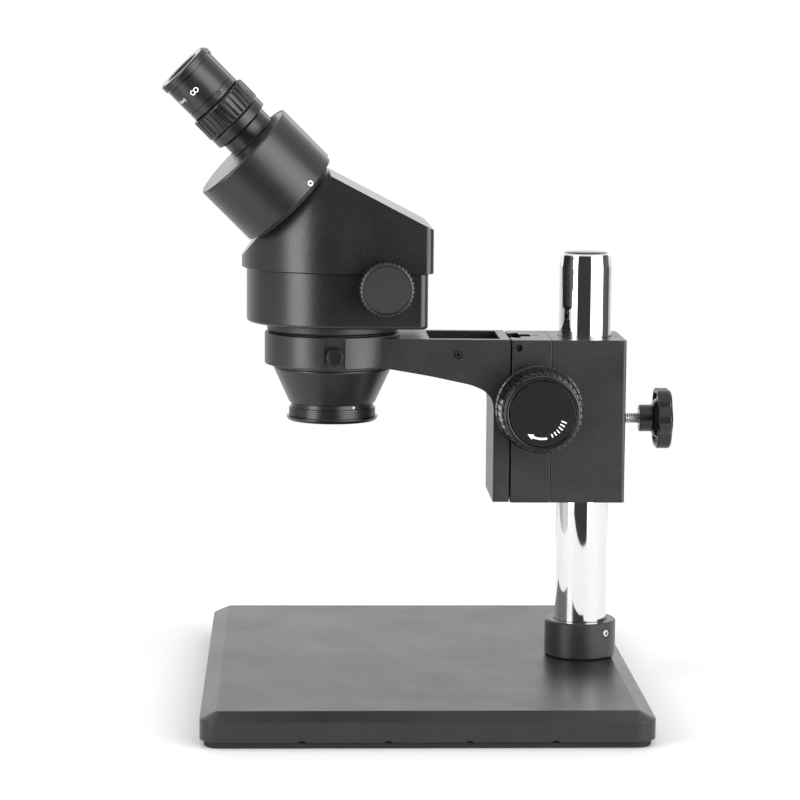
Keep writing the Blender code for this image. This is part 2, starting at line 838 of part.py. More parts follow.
def objective():
    at = Matrix.Translation((0, RING_Y, 0))
    neck = 32.7 * MM
    shoulder = 200.2 * MM
    turned(
        "objective_cone",
        [
            (neck, 212 * MM),
            (neck, shoulder),
            (36 * MM, shoulder),
            (26.3 * MM, 178.3 * MM),
            (22.8 * MM, 178.3 * MM),
            (29.5 * MM, 197 * MM),
            (29.5 * MM, 212 * MM),
        ],
        "black_anodised",
        at,
        36,
    )
    ring("objective_ring", 26.5 * MM, 22.6 * MM, 170.2 * MM, 178 * MM, "black_anodised", at, 32)
    ring("objective_cap", 28 * MM, 21 * MM, 167.3 * MM, 169.9 * MM, "black_plastic", at, 32)
    rod("objective_glass", 22.2 * MM, 170.4 * MM, 172.6 * MM, "glass", at, 24)
    for name, side in SIDES.items():
        on_channel = Matrix.Translation((side * 11 * MM, RING_Y, 0))
        lens = f"objective_lens_{name}"
        rod(lens, 9 * MM, 190 * MM, 194 * MM, "glass", on_channel, 14)


# ---------------------------------------------------------------- zoom drive

ROD_X = 34 * MM


def zoom_drive():
    across = along_x(1, ZOOM_Y, ZOOM_Z)
    shaft_end = 72 * MM
    rod("zoom_shaft", ZOOM_SHAFT_RADIUS, -shaft_end, shaft_end, "zinc", across, 20)
    teeth = 14
    gear_radius = 10 * MM
    outline = []
    for step in range(2 * teeth):
        radius = gear_radius if step % 2 else gear_radius - 1.5 * MM
        angle = math.pi * step / teeth
        outline.append((radius * math.cos(angle), radius * math.sin(angle)))
    bore = ZOOM_SHAFT_RADIUS + GAP
    extruded("zoom_gear", [outline, circle((0, 0), bore, 20)], -4 * MM, 4 * MM, "brass", across)
    for name, side in SIDES.items():
        radius = ZOOM_KNOB_RADIUS
        outer = ZOOM_KNOB_OUTER
        inner = ZOOM_KNOB_INNER
        turned(
            f"zoom_knob_{name}",
            [
                (0, outer),
                (radius - 1.4 * MM, outer),
                (radius, outer - 1.2 * MM),
                (radius, inner),
                (bore, inner),
                (bore, shaft_end + GAP),
                (0, shaft_end + GAP),
            ],
            "black_plastic",
            along_x(side, ZOOM_Y, ZOOM_Z),
            24,
        )


def zoom_carriers():
    for name, bottom, lens in (("upper", 270 * MM, 9.5 * MM), ("lower", 240 * MM, 8 * MM)):
        top = bottom + 6 * MM
        outline = rounded_rectangle(82 * MM, 34 * MM, 6 * MM, 1)
        holes = [circle((side * CHANNEL_X, 0), lens + 2 * GAP, 14) for side in SIDES.values()]
        holes += [circle((side * ROD_X, 0), 3 * MM, 10) for side in SIDES.values()]
        at = Matrix.Translation((0, RING_Y, 0))
        extruded(f"zoom_carrier_{name}", [outline, *holes], bottom, top, "brass", at)
        for lens_name, side in SIDES.items():
            on_channel = Matrix.Translation((side * CHANNEL_X, RING_Y, 0))
            full_name = f"zoom_lens_{name}_{lens_name}"
            rod(full_name, lens, bottom + 1 * MM, top - 1 * MM, "glass", on_channel, 14)
    bottom = BODY_BOTTOM + SHELL_WALL + GAP
    for name, side in SIDES.items():
        at = Matrix.Translation((side * ROD_X, RING_Y, 0))
        rod(f"guide_rod_{name}", 2.5 * MM, bottom, 290 * MM, "chrome", at, 10)


# ---------------------------------------------------------------- eyepiece tubes


def prism_housing(name, side):
    at = tilted(side, DRUM_X, DRUM_ACROSS)
    radius = DRUM_RADIUS
    wall = 3 * MM
    ceiling = DRUM_TOP - 4 * MM
    drum = turned(
        f"prism_housing_{name}",
        [
            (0, DRUM_TOP),
            (radius - 0.8 * MM, DRUM_TOP),
            (radius, DRUM_TOP - 0.8 * MM),
            (radius, DRUM_BOTTOM),
            (radius - wall, DRUM_BOTTOM),
            (radius - wall, ceiling),
            (0, ceiling),
        ],
        "black_paint",
        at,
        32,
    )
    on_eye_axis = tilted(side, EYE_X, EYE_ACROSS)
    cut(drum, rod(f"tube_hole_{name}", 12.3 * MM, 295 * MM, 320 * MM, None, on_eye_axis, 18))
    plate = radius - wall - GAP
    plate_top = DRUM_BOTTOM + 2.6 * MM
    plate_name = f"housing_plate_{name}"
    ring(plate_name, plate, 12 * MM, DRUM_BOTTOM, plate_top, "black_anodised", at, 28)
    drop = EYE_ACROSS - DRUM_ACROSS
    middle = side * (EYE_X - DRUM_X) / 2
    box(
        f"prism_{name}",
        (middle - 11 * MM, -12 * MM, 280 * MM),
        (middle + 11 * MM, drop + 12 * MM, 302 * MM),
        "glass",
        at,
        0.8 * MM,
    )


def eyepiece(name, side):
    at = tilted(side, EYE_X, EYE_ACROSS)
    seat = DRUM_TOP + GAP
    turned(
        f"eye_tube_{name}",
        [
            (16.3 * MM, 339.5 * MM),
            (16.3 * MM, 326.8 * MM),
            (18.1 * MM, 326.8 * MM),
            (18.1 * MM, 320.6 * MM),
            (15.2 * MM, 320.6 * MM),
            (15.2 * MM, seat),
            (12 * MM, seat),
            (12 * MM, 321.5 * MM),
            (15.5 * MM, 321.5 * MM),
            (15.5 * MM, 339.5 * MM),
        ],
        "black_anodised",
        at,
        26,
    )
    ring(f"diopter_ring_{name}", 18.6 * MM, 16.7 * MM, 327.1 * MM, 341.8 * MM, "black_plastic", at, 28)
    turned(
        f"eyepiece_{name}",
        [
            (17.35 * MM, EYE_TOP),
            (17.35 * MM, 365.9 * MM),
            (16.5 * MM, 365.9 * MM),
            (16.5 * MM, 342.1 * MM),
            (15 * MM, 342.1 * MM),
            (15 * MM, 322.5 * MM),
            (12 * MM, 322.5 * MM),
            (12 * MM, 364.5 * MM),
            (13.4 * MM, 364.5 * MM),
            (14.8 * MM, EYE_TOP),
        ],
        "black_anodised",
        at,
        28,
    )
    rod(f"eye_lens_{name}", 12.9 * MM, 364.8 * MM, 367.6 * MM, "glass", at, 20)


def main():
    clear_scene()
    new_collection(PARTS)
    new_collection(CUTTERS)
    base()
    collar()
    pillar()
    clamp_block()
    rack_housing()
    bushes()
    clamp_screw()
    pinion()
    focus_knobs()
    rack()
    focus_arm()
    lock_screw()
    head_body()
    head_cover()
    mount_flange()
    objective()
    zoom_drive()
    zoom_carriers()
    for name, side in SIDES.items():
        prism_housing(name, side)
        eyepiece(name, side)
    for obj in bpy.data.collections[PARTS].objects:
        shade(obj.data)


main()
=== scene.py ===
"""The looks of a stereo zoom microscope on a pillar stand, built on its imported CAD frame.

The user sits at -Y and looks along +Y, +X is the user's right and +Z is up. Lengths are in millimetres
and become metres where a mesh or a place is made. A turned piece has its axis along its own Z. Places,
radii and heights come from the CAD nodes and joints; the numbers below are the fine shape that the CAD
solids leave out.
"""

import json
from math import cos, hypot, pi, radians, sin, sqrt, tan

import bmesh
import bpy
from mathutils import Matrix, Vector

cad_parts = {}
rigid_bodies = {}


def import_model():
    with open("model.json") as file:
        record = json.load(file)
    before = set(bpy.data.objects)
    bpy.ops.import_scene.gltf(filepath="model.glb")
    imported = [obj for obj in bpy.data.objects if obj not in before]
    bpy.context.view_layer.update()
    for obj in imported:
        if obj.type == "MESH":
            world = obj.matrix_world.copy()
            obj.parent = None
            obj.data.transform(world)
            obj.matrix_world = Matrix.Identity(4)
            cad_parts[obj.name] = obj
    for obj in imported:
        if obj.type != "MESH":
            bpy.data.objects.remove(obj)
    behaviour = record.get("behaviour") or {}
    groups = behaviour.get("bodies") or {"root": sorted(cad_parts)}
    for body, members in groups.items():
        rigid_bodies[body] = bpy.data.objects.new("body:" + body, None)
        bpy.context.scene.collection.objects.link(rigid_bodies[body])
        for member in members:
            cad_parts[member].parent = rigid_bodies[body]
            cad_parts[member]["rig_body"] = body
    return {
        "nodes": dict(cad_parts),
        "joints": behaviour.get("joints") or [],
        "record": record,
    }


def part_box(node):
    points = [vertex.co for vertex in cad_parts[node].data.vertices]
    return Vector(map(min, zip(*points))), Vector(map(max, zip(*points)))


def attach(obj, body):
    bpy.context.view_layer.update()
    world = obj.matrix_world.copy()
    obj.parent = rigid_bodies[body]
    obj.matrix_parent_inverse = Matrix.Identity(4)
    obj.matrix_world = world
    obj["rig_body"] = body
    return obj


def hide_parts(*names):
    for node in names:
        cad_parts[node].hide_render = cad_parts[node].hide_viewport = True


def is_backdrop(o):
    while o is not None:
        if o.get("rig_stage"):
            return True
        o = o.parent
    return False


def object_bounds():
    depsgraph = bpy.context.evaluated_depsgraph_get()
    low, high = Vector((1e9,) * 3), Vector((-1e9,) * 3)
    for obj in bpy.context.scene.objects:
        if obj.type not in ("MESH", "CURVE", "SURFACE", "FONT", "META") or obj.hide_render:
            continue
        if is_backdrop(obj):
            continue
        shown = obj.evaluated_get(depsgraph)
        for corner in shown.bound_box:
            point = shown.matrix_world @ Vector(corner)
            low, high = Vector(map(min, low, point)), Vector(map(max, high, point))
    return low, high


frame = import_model()
CAD_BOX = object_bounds()

MM = 0.001
TINY = 1e-7
SIDES = {"left": -1, "right": 1}
NODES = frame["nodes"]
JOINTS = {joint["name"]: joint for joint in frame["joints"]}
SLOT_OF = {part["node"]: part["material_slot"] for part in frame["record"]["subparts"]}


# ------- places


def axes(origin, x, z):
    """A place whose own X and Z point along x and z."""
    x = Vector(x).normalized()
    z = Vector(z).normalized()
    place = Matrix((x, z.cross(x), z)).transposed().to_4x4()
    place.translation = Vector(origin) * MM
    return place


def upright(y):
    return Matrix.Translation((0, y * MM, 0))


def sideways(side, y, z):
    """Own Z points to the user's right, or left where side is -1, and own Y points up."""
    return axes((0, y, z), (0, side, 0), (side, 0, 0))


def backwards(x, z):
    """Own Z points away from the user, from the plane y = 0."""
    return axes((x, 0, z), (1, 0, 0), (0, 1, 0))


def up_the_axis(joint, height):
    """Own Z runs up a joint's axis, on which the joint sits at that height, and own Y points up and back."""
    axis = Vector(JOINTS[joint]["axis"]).normalized()
    return axes(joint_at(joint) - axis * height, Vector((0, 1, 1)).cross(axis), axis)


def measure(node, place):
    """(radius, lowest, highest) of a CAD node about the Z axis of a place."""
    inverse = place.inverted()
    points = [inverse @ vertex.co for vertex in NODES[node].data.vertices]
    radius = max(hypot(point.x, point.y) for point in points) / MM
    heights = [point.z / MM for point in points]
    return radius, min(heights), max(heights)


def joint_at(name):
    return Vector(JOINTS[name]["pos_m"]) / MM


def box_of(node):
    """The lowest and the highest corner of a CAD node."""
    return [Vector(corner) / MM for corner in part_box(node)]


def centre_of(node):
    low, high = box_of(node)
    return (low + high) / 2


PILLAR_Y = joint_at("pillar_swing").y
RING_Y = joint_at("head_swivel").y
PILLAR = upright(PILLAR_Y)
RING = upright(RING_Y)
CLAMP = backwards(0, joint_at("clamp_turn").z)
SIDE_VIEW = sideways(1, 0, 0)
FOCUS = {name: sideways(side, *joint_at("pinion_turn").yz) for name, side in SIDES.items()}
ZOOM = {name: sideways(side, *joint_at("zoom_turn").yz) for name, side in SIDES.items()}
LOCK = sideways(1, *joint_at("head_lock_turn").yz)
DRUM = {name: up_the_axis(f"tube_{name}_swing", 291.2) for name in SIDES}
EYE = {name: up_the_axis(f"diopter_{name}_turn", 334.5) for name in SIDES}


# ------- mesh tools


def add_object(name, data, place=Matrix()):
    added = bpy.data.objects.new(name, data)
    bpy.context.scene.collection.objects.link(added)
    added.matrix_world = place
    return added


def new_piece(name, points, faces, place=Matrix()):
    mesh = bpy.data.meshes.new(name)
    mesh.from_pydata([(x * MM, y * MM, z * MM) for x, y, z in points], [], faces)
    return add_object(name, mesh, place)


def final_mesh(item):
    """The mesh that an object's modifiers or its curve make."""
    bpy.context.view_layer.update()
    graph = bpy.context.evaluated_depsgraph_get()
    return bpy.data.meshes.new_from_object(item.evaluated_get(graph))


def settle(piece):
    """Turns the piece's modifiers into its mesh."""
    mesh = final_mesh(piece)
    piece.modifiers.clear()
    piece.data = mesh
    return piece


def combine(piece, others, operation, solver="EXACT"):
    for other in others:
        boolean = piece.modifiers.new(other.name, "BOOLEAN")
        boolean.operation = operation
        boolean.solver = solver
        boolean.object = other
    settle(piece)
    for other in others:
        bpy.data.objects.remove(other)
    return piece


def carve(piece, *cutters, solver="EXACT"):
    return combine(piece, cutters, "DIFFERENCE", solver)


def bevel(piece, width, segments=3, angle=30):
    """Rounds every edge that is sharper than the angle."""
    rounding = piece.modifiers.new("rounding", "BEVEL")
    rounding.width = width * MM
    rounding.segments = segments
    rounding.limit_method = "ANGLE"
    rounding.angle_limit = radians(angle)
    return settle(piece)


def smooth(piece, angle=35):
    """Smooth shading that keeps flat faces flat beside rounded edges."""
    piece.data.shade_smooth()
    piece.data.set_sharp_from_angle(angle=radians(angle))
    weighted = piece.modifiers.new("flat_faces", "WEIGHTED_NORMAL")
    weighted.keep_sharp = True
    return piece


def rounded(points, radius, steps=4, closed=False):
    """The line with its corners rounded. A point's third value is its own radius."""
    result = []
    count = len(points)
    for index, point in enumerate(points):
        corner = Vector(point[:2])
        own = point[2] if len(point) > 2 else radius
        before = Vector(points[index - 1][:2]) - corner
        after = Vector(points[(index + 1) % count][:2]) - corner
        at_end = not closed and index in (0, count - 1)
        if at_end or own == 0 or before.angle(after) > radians(179):
            result.append(tuple(corner))
            continue
        cut = own / tan(before.angle(after) / 2)
        cut = min(cut, 0.48 * before.length, 0.48 * after.length)
        start = corner + before.normalized() * cut
        end = corner + after.normalized() * cut
        for step in range(steps + 1):
            share = step / steps
            bend = start * (1 - share) ** 2 + corner * 2 * share * (1 - share) + end * share**2
            result.append(tuple(bend))
    return result


def arc(centre, radius, start, end, steps):
    """Points along an arc, with its angles in degrees."""
    angles = [radians(start + (end - start) * step / steps) for step in range(steps + 1)]
    return [(centre[0] + radius * cos(a), centre[1] + radius * sin(a)) for a in angles]


def circle(centre, radius, steps):
    return arc(centre, radius, 0, 360, steps)[:-1]


def rounded_rectangle(width, depth, corner, steps=10):
    points = []
    for quarter, (side, end) in enumerate(((1, 1), (-1, 1), (-1, -1), (1, -1))):
        centre = (side * (width / 2 - corner), end * (depth / 2 - corner))
        points += arc(centre, corner, 90 * quarter, 90 * quarter + 90, steps)
    return points


def lathe(name, profile, place, turns=128, relief=None):
    """A turned mesh. Its profile of (radius, height) runs down the outer side.

    turns is a number of steps or a list of angles. relief(angle, radius, height) is how far the
    surface sinks towards the axis there."""
    angles = turns
    if isinstance(turns, int):
        angles = [2 * pi * step / turns for step in range(turns)]
    count = len(angles)
    points = []
    rows = []
    for radius, height in profile:
        start = len(points)
        if radius < TINY:
            points.append((0, 0, height))
            rows.append([start] * count)
            continue
        for angle in angles:
            reach = radius - (relief(angle, radius, height) if relief else 0)
            points.append((reach * cos(angle), reach * sin(angle), height))
        rows.append(list(range(start, start + count)))
    pairs = list(zip(rows, rows[1:]))
    if profile[0][0] > TINY:
        pairs.append((rows[-1], rows[0]))
    faces = []
    for upper, lower in pairs:
        for step in range(count):
            after = (step + 1) % count
            corners = (upper[step], lower[step], lower[after], upper[after])
            faces.append(list(dict.fromkeys(corners)))
    faces = [face for face in faces if len(face) > 2]
    return new_piece(name, points, faces, place)


def drill(radius, bottom, top, place, turns=48):
    """A cylinder that cuts a hole."""
    return lathe("drill", [(0, top), (radius, top), (radius, bottom), (0, bottom)], place, turns)


def swept(name, outline_of, profile, place=Matrix()):
    """A solid whose outline changes with height. Its profile of (inset, height) runs upwards."""
    rings = [outline_of(inset) for inset, _ in profile]
    count = len(rings[0])
    points = []
    for outline, (_, height) in zip(rings, profile):
        points += [(x, y, height) for x, y in outline]
    last = (len(profile) - 1) * count
    faces = [list(range(count))[::-1], list(range(last, last + count))]
    for low in range(0, last, count):
        for step in range(count):
            after = (step + 1) % count
            faces.append([low + step, low + after, low + count + after, low + count + step])
    return new_piece(name, points, faces, place)


def extruded(name, outlines, bottom, top, place=Matrix(), rounding=0.0, segments=3):
    """A flat outline, and those of its holes, from bottom to top, with its edges rounded."""
    curve = bpy.data.curves.new(name, "CURVE")
    curve.dimensions = "2D"
    curve.fill_mode = "BOTH"
    curve.extrude = (top - bottom) / 2 * MM
    for outline in outlines:
        spline = curve.splines.new("POLY")
        spline.points.add(len(outline) - 1)
        for point, (x, y) in zip(spline.points, outline):
            point.co = (x * MM, y * MM, 0, 1)
        spline.use_cyclic_u = True
    guide = add_object(name + "_outline", curve)
    mesh = final_mesh(guide)
    bpy.data.objects.remove(guide)
    work = bmesh.new()
    work.from_mesh(mesh)
    bmesh.ops.remove_doubles(work, verts=work.verts, dist=1e-6)
    bmesh.ops.translate(work, verts=work.verts, vec=(0, 0, (top + bottom) / 2 * MM))
    bmesh.ops.recalc_face_normals(work, faces=work.faces)
    flat = [edge for edge in work.edges if edge.calc_face_angle(1) < 0.001]
    bmesh.ops.dissolve_edges(work, edges=flat, use_verts=False)
    work.to_mesh(mesh)
    work.free()
    mesh.materials.clear()
    piece = add_object(name, mesh, place)
    return bevel(piece, rounding, segments) if rounding else piece


def block(low, high, place=Matrix()):
    """A box that cuts a notch."""
    (x0, y0, z0), (x1, y1, z1) = low, high
    return extruded("block", [[(x0, y0), (x1, y0), (x1, y1), (x0, y1)]], z0, z1, place)


def groove_angles(count, share, parts=6, land_parts=3):
    """Angles that follow count equal grooves, each of them as wide as share of its pitch."""
    pitch = 2 * pi / count
    angles = []
    for groove in range(count):
        start = groove * pitch - pitch * share / 2
        angles += [start + pitch * share * part / parts for part in range(parts)]
        land = start + pitch * share
        angles += [land + pitch * (1 - share) * part / land_parts for part in range(land_parts)]
    return angles


def groove_depth(angle, count, share):
    """0 on the lands and 1 at the middle of a groove."""
    pitch = 2 * pi / count
    offset = abs((angle / pitch + 0.5) % 1 - 0.5) / (share / 2)
    return 0.5 + 0.5 * cos(pi * offset) if offset < 1 else 0.0


def fade(value, low, high, soft):
    """1 between low and high, falling to 0 over soft inside each end."""
    share = min((value - low) / soft, (high - value) / soft)
    return max(0.0, min(1.0, share))


def ring_groove(radius, height, width, depth):
    """Profile points of a narrow turned groove, running down."""
    half = width / 2
    return [
        (radius, height + half), (radius - depth, height + 0.6 * half),
        (radius - depth, height - 0.6 * half), (radius, height - half),
    ]


def ribbons(name, paths, surface, height, place):
    """Printed strokes. A path holds (u, v, width) points, and surface(u, v, height) places a point."""
    points = []
    faces = []
    for path in paths:
        start = len(points)
        for index, (u, v, width) in enumerate(path):
            before = Vector(path[max(index - 1, 0)][:2])
            after = Vector(path[min(index + 1, len(path) - 1)][:2])
            run = (after - before).normalized()
            side = Vector((-run.y, run.x)) * width / 2
            for edge, lift in ((1, 0), (-1, 0), (-1, height), (1, height)):
                points.append(surface(u + edge * side.x, v + edge * side.y, lift))
        for index in range(len(path) - 1):
            base = start + 4 * index
            for corner in range(4):
                other = (corner + 1) % 4
                faces.append([base + corner, base + 4 + corner, base + 4 + other, base + other])
        last = start + 4 * (len(path) - 1)
        faces.append([start, start + 1, start + 2, start + 3])
        faces.append([last + 3, last + 2, last + 1, last])
    piece = new_piece(name, points, faces, place)
    work = bmesh.new()
    work.from_mesh(piece.data)
    bmesh.ops.recalc_face_normals(work, faces=work.faces)
    work.to_mesh(piece.data)
    work.free()
    return piece


def flat_print(level):
    return lambda u, v, lift: (u, v, level + lift)


def round_print(radius):
    """u runs round the axis and v along it."""

    def surface(u, v, lift):
        angle = u / radius
        return ((radius + lift) * cos(angle), (radius + lift) * sin(angle), v)

    return surface


def stroke(points, width):
    return [(u, v, width) for u, v in points]


# ------- materials

# Slot: colour, roughness, metallic, grain size, grain depth, mottling, turned lines
LOOKS = {
    "cast_black": ((0.0210, 0.0216, 0.0224), 0.34, 0.0, 0.70, 0.060, 0.45, 0.0),
    "head_black": ((0.0115, 0.0119, 0.0125), 0.28, 0.0, 0.60, 0.050, 0.35, 0.0),
    "base_black": ((0.0135, 0.0140, 0.0148), 0.36, 0.0, 0.75, 0.050, 0.40, 0.0),
    "anodised_black": ((0.0110, 0.0112, 0.0118), 0.28, 0.0, 0.25, 0.004, 0.20, 0.5),
    "plastic_black": ((0.010, 0.010, 0.0105), 0.25, 0.0, 0.80, 0.012, 0.15, 0.0),
    "plastic_matte": ((0.014, 0.014, 0.0148), 0.45, 0.0, 0.40, 0.020, 0.30, 0.0),
    "gloss_black": ((0.009, 0.0091, 0.0096), 0.14, 0.0, 0.60, 0.003, 0.15, 0.2),
    "black_oxide": ((0.060, 0.060, 0.063), 0.42, 1.0, 0.40, 0.010, 0.25, 0.0),
    "rubber_black": ((0.010, 0.010, 0.010), 0.75, 0.0, 0.50, 0.030, 0.30, 0.0),
    "chrome": ((0.775, 0.785, 0.80), 0.035, 1.0, 3.0, 0.0, 0.02, 0.0),
    "zinc": ((0.66, 0.67, 0.68), 0.28, 1.0, 0.50, 0.008, 0.12, 0.3),
    "brass": ((0.66, 0.47, 0.19), 0.30, 1.0, 0.50, 0.008, 0.12, 0.4),
    "white_ink": ((0.82, 0.83, 0.84), 0.55, 0.0, 0.30, 0.006, 0.06, 0.0),
    "glass": ((0.80, 0.88, 0.92), 0.02, 0.0, 6.0, 0.0, 0.03, 0.0),
}
LINE_PITCH = 0.35
CLOUD_SIZE = 35
CLOUD_SHARE = 0.45


def graph_node(tree, kind, inputs=(), **settings):
    """A shader node with its settings, and its inputs given as values or as other nodes' outputs."""
    node = tree.nodes.new("ShaderNode" + kind)
    for key, value in settings.items():
        setattr(node, key, value)
    for key, value in dict(inputs).items():
        if isinstance(value, bpy.types.NodeSocket):
            tree.links.new(value, node.inputs[key])
        else:
            node.inputs[key].default_value = value
    return node


def ranged(tree, value, low, high, at_low, at_high):
    """A value between low and high, mapped to lie between at_low and at_high."""
    inputs = {"Value": value, "From Min": low, "From Max": high, "To Min": at_low, "To Max": at_high}
    return graph_node(tree, "MapRange", inputs).outputs["Result"]


def spread(tree, value, low, high):
    """Noise, which lies mostly between 0.3 and 0.7, spread over low to high."""
    return ranged(tree, value, 0.3, 0.7, low, high)


def add_maths(tree, operation, first, second):
    return graph_node(tree, "Math", {0: first, 1: second}, operation=operation).outputs[0]


def look(name):
    """The procedural material of a finish, made once and shared."""
    material = bpy.data.materials.get("look_" + name)
    if material:
        return material
    colour, roughness, metallic, grain, depth, mottling, lines = LOOKS[name]
    drift = CLOUD_SHARE * mottling
    material = bpy.data.materials.new("look_" + name)
    material.use_nodes = True
    tree = material.node_tree
    shader = tree.nodes["Principled BSDF"]
    place = graph_node(tree, "TexCoord").outputs["Object"]
    noise_inputs = {"Vector": place, "Scale": 1 / (grain * MM), "Detail": 2.5, "Roughness": 0.6}
    speckle = graph_node(tree, "TexNoise", noise_inputs).outputs["Fac"]
    cloud_inputs = {"Vector": place, "Scale": 1 / (CLOUD_SIZE * MM), "Detail": 5, "Roughness": 0.6}
    cloud = graph_node(tree, "TexNoise", cloud_inputs).outputs["Fac"]
    shade = add_maths(
        tree,
        "MULTIPLY",
        spread(tree, speckle, 1 - mottling, 1 + mottling),
        spread(tree, cloud, 1 - drift, 1 + drift),
    )
    tinted = graph_node(tree, "VectorMath", {0: colour, "Scale": shade}, operation="SCALE")
    tree.links.new(tinted.outputs["Vector"], shader.inputs["Base Color"])
    worn = add_maths(
        tree,
        "MULTIPLY",
        spread(tree, cloud, roughness * (1 - drift / 2), roughness * (1 + drift / 2)),
        spread(tree, speckle, 0.93, 1.07),
    )
    tree.links.new(worn, shader.inputs["Roughness"])
    shader.inputs["Metallic"].default_value = metallic
    height = speckle
    if lines:
        squeeze = {"Vector": place, "Scale": (4, 4, 1 / (LINE_PITCH * MM))}
        stretched = graph_node(tree, "Mapping", squeeze).outputs["Vector"]
        line_inputs = {"Vector": stretched, "Scale": 1, "Detail": 2}
        turning = graph_node(tree, "TexNoise", line_inputs).outputs["Fac"]
        height = add_maths(tree, "ADD", speckle, add_maths(tree, "MULTIPLY", turning, 2 * lines))
    if depth:
        relief = {"Height": height, "Strength": 0.8, "Distance": depth * MM}
        bump = graph_node(tree, "Bump", relief)
        tree.links.new(bump.outputs["Normal"], shader.inputs["Normal"])
    if name == "glass":
        shader.inputs["Transmission Weight"].default_value = 1.0
        shader.inputs["Coat Weight"].default_value = 1.0
        shader.inputs["Coat Tint"].default_value = (0.55, 0.75, 1.0, 1)
    return material


def paint(piece, finish):
    piece.data.materials.clear()
    piece.data.materials.append(look(finish))


def belongs(piece, node, finish=None):
    """An extra piece that moves with a CAD node's body and takes its slot."""
    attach(piece, NODES[node]["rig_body"])
    paint(piece, finish or SLOT_OF[node])
    return piece


def stand_for(piece, node, finish=None):
    """A finished piece that takes the place of a CAD node."""
    belongs(piece, node, finish)
    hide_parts(node)
    return piece


def turned(name, node, profile, place, turns=128, steps=3, loop=True, finish=None, relief=None, angle=35):
    """A turned piece with rounded corners in place of a CAD node."""
    piece = lathe(name, rounded(profile, 0, steps, loop), place, turns, relief)
    return stand_for(smooth(piece, angle), node, finish)


# ------- stand

PAD_ROUND = 0.8
SLAB_ROUND = 0.8
SLAB_EDGE_TOP = 15.5
SLAB_SLOPE = 9.7
SLAB_CORNER = 12
NOTCH_WIDTH = 5.5
NOTCH_HEIGHT = 1
NOTCH_PLACES = (-72, -23, 23, 72)
BOLT_HOLE = 4.6
BOLT_HEAD_HOLE = 9
BOLT_HEAD_TOP = 12.3
GRUB_HOLE = 2.7


def stand_pieces():
    low, high = box_of("base_plate")
    width, depth = high.x - low.x, high.y - low.y

    def slab_outline(inset):
        return rounded_rectangle(width - 2 * inset, depth - 2 * inset, SLAB_CORNER - inset)

    slab_profile = [
        (2, low.z), (0, low.z, 0.4), (0, SLAB_EDGE_TOP), (SLAB_SLOPE, high.z, 2),
        (SLAB_SLOPE + 1.8, high.z),
    ]
    slab = swept("slab", slab_outline, rounded(slab_profile, SLAB_ROUND))
    notch_radius = (NOTCH_WIDTH**2 / 4 + NOTCH_HEIGHT**2) / (2 * NOTCH_HEIGHT)
    notch_z = low.z + NOTCH_HEIGHT - notch_radius
    cutters = [drill(BOLT_HEAD_HOLE, 0, BOLT_HEAD_TOP, PILLAR), drill(BOLT_HOLE, 0, 30, PILLAR)]
    for y in NOTCH_PLACES:
        for side in SIDES.values():
            place = sideways(side, y, notch_z)
            cutters.append(drill(notch_radius, high.x - 4, high.x + 2, place, 64))
    stand_for(smooth(carve(slab, *cutters), 20), "base_plate")

    pad_low, pad_high = box_of("base_pad")
    pad_inset = high.x - pad_high.x

    def pad_outline(inset):
        shrink = 2 * (inset + pad_inset)
        corner = SLAB_CORNER - pad_inset - inset
        return rounded_rectangle(width - shrink, depth - shrink, corner)

    pad_profile = [(2, pad_low.z), (0, pad_low.z), (0, pad_high.z), (2, pad_high.z)]
    pad = swept("pad", pad_outline, rounded(pad_profile, PAD_ROUND))
    carve(pad, drill(10, -5, 10, PILLAR))
    stand_for(smooth(pad), "base_pad")

    radius, bottom, top = measure("pillar_collar", PILLAR)
    bore = measure("pillar", PILLAR)[0] + 0.3
    chamfer = 0.8
    collar_profile = [
        (radius - chamfer, top), (radius, top - chamfer), (radius, bottom + chamfer),
        (radius - chamfer, bottom), (bore, bottom), (bore, top - 0.5), (bore + 0.5, top),
    ]
    collar = lathe("collar", rounded(collar_profile, 0.2, 2, True), PILLAR, 160)
    middle = centre_of("collar_set_screw")
    outward = Vector((middle.x, middle.y - PILLAR_Y, 0))
    origin = (0, PILLAR_Y, middle.z)
    screw_place = axes(origin, (0, 0, 1), outward)
    carve(collar, drill(GRUB_HOLE, 10, 30, screw_place))
    stand_for(smooth(collar), "pillar_collar", "cast_black")
    stand_for(set_screw("collar_grub_screw", "collar_set_screw", screw_place), "collar_set_screw")


def set_screw(name, node, place):
    """A headless screw with a hexagonal socket."""
    radius, bottom, top = measure(node, place)
    profile = [(0, top), (radius, top, 0.4), (radius, bottom, 0.4), (0, bottom)]
    screw = lathe(name, rounded(profile, 0, 3), place, 48)
    carve(screw, drill(0.55 * radius, top - 2, top + 1, place, 6))
    return smooth(screw)


PILLAR_RISE = 2


def pillar_pieces():
    radius, bottom, top = measure("pillar", PILLAR)
    top += PILLAR_RISE
    socket = 8.3
    socket_floor = top - 11
    thread = 4.4
    thread_top = 50
    profile = [
        (0, socket_floor), (socket, socket_floor), (socket, top), (radius - 0.9, top, 1.8),
        (radius, top - 9, 30), (radius, bottom, 0.4), (thread, bottom), (thread, thread_top),
        (0, thread_top),
    ]
    turned("column", "pillar", profile, PILLAR, 192, 6, False)
    cap_radius, cap_bottom, cap_top = measure("pillar_cap", PILLAR)
    cap_top += PILLAR_RISE
    cap_bottom += PILLAR_RISE
    rim = top + 0.3
    cap_radius -= 1.4
    dome = [(cap_radius * sin(a), rim + (cap_top - rim) * cos(a)) for a in quarter_turn(8)]
    spigot = [(socket - 0.3, rim), (socket - 0.3, cap_bottom), (0, cap_bottom)]
    stand_for(smooth(lathe("column_plug", dome + spigot, PILLAR)), "pillar_cap", "gloss_black")


def quarter_turn(steps):
    return [pi / 2 * step / steps for step in range(steps + 1)]


# ------- focus block

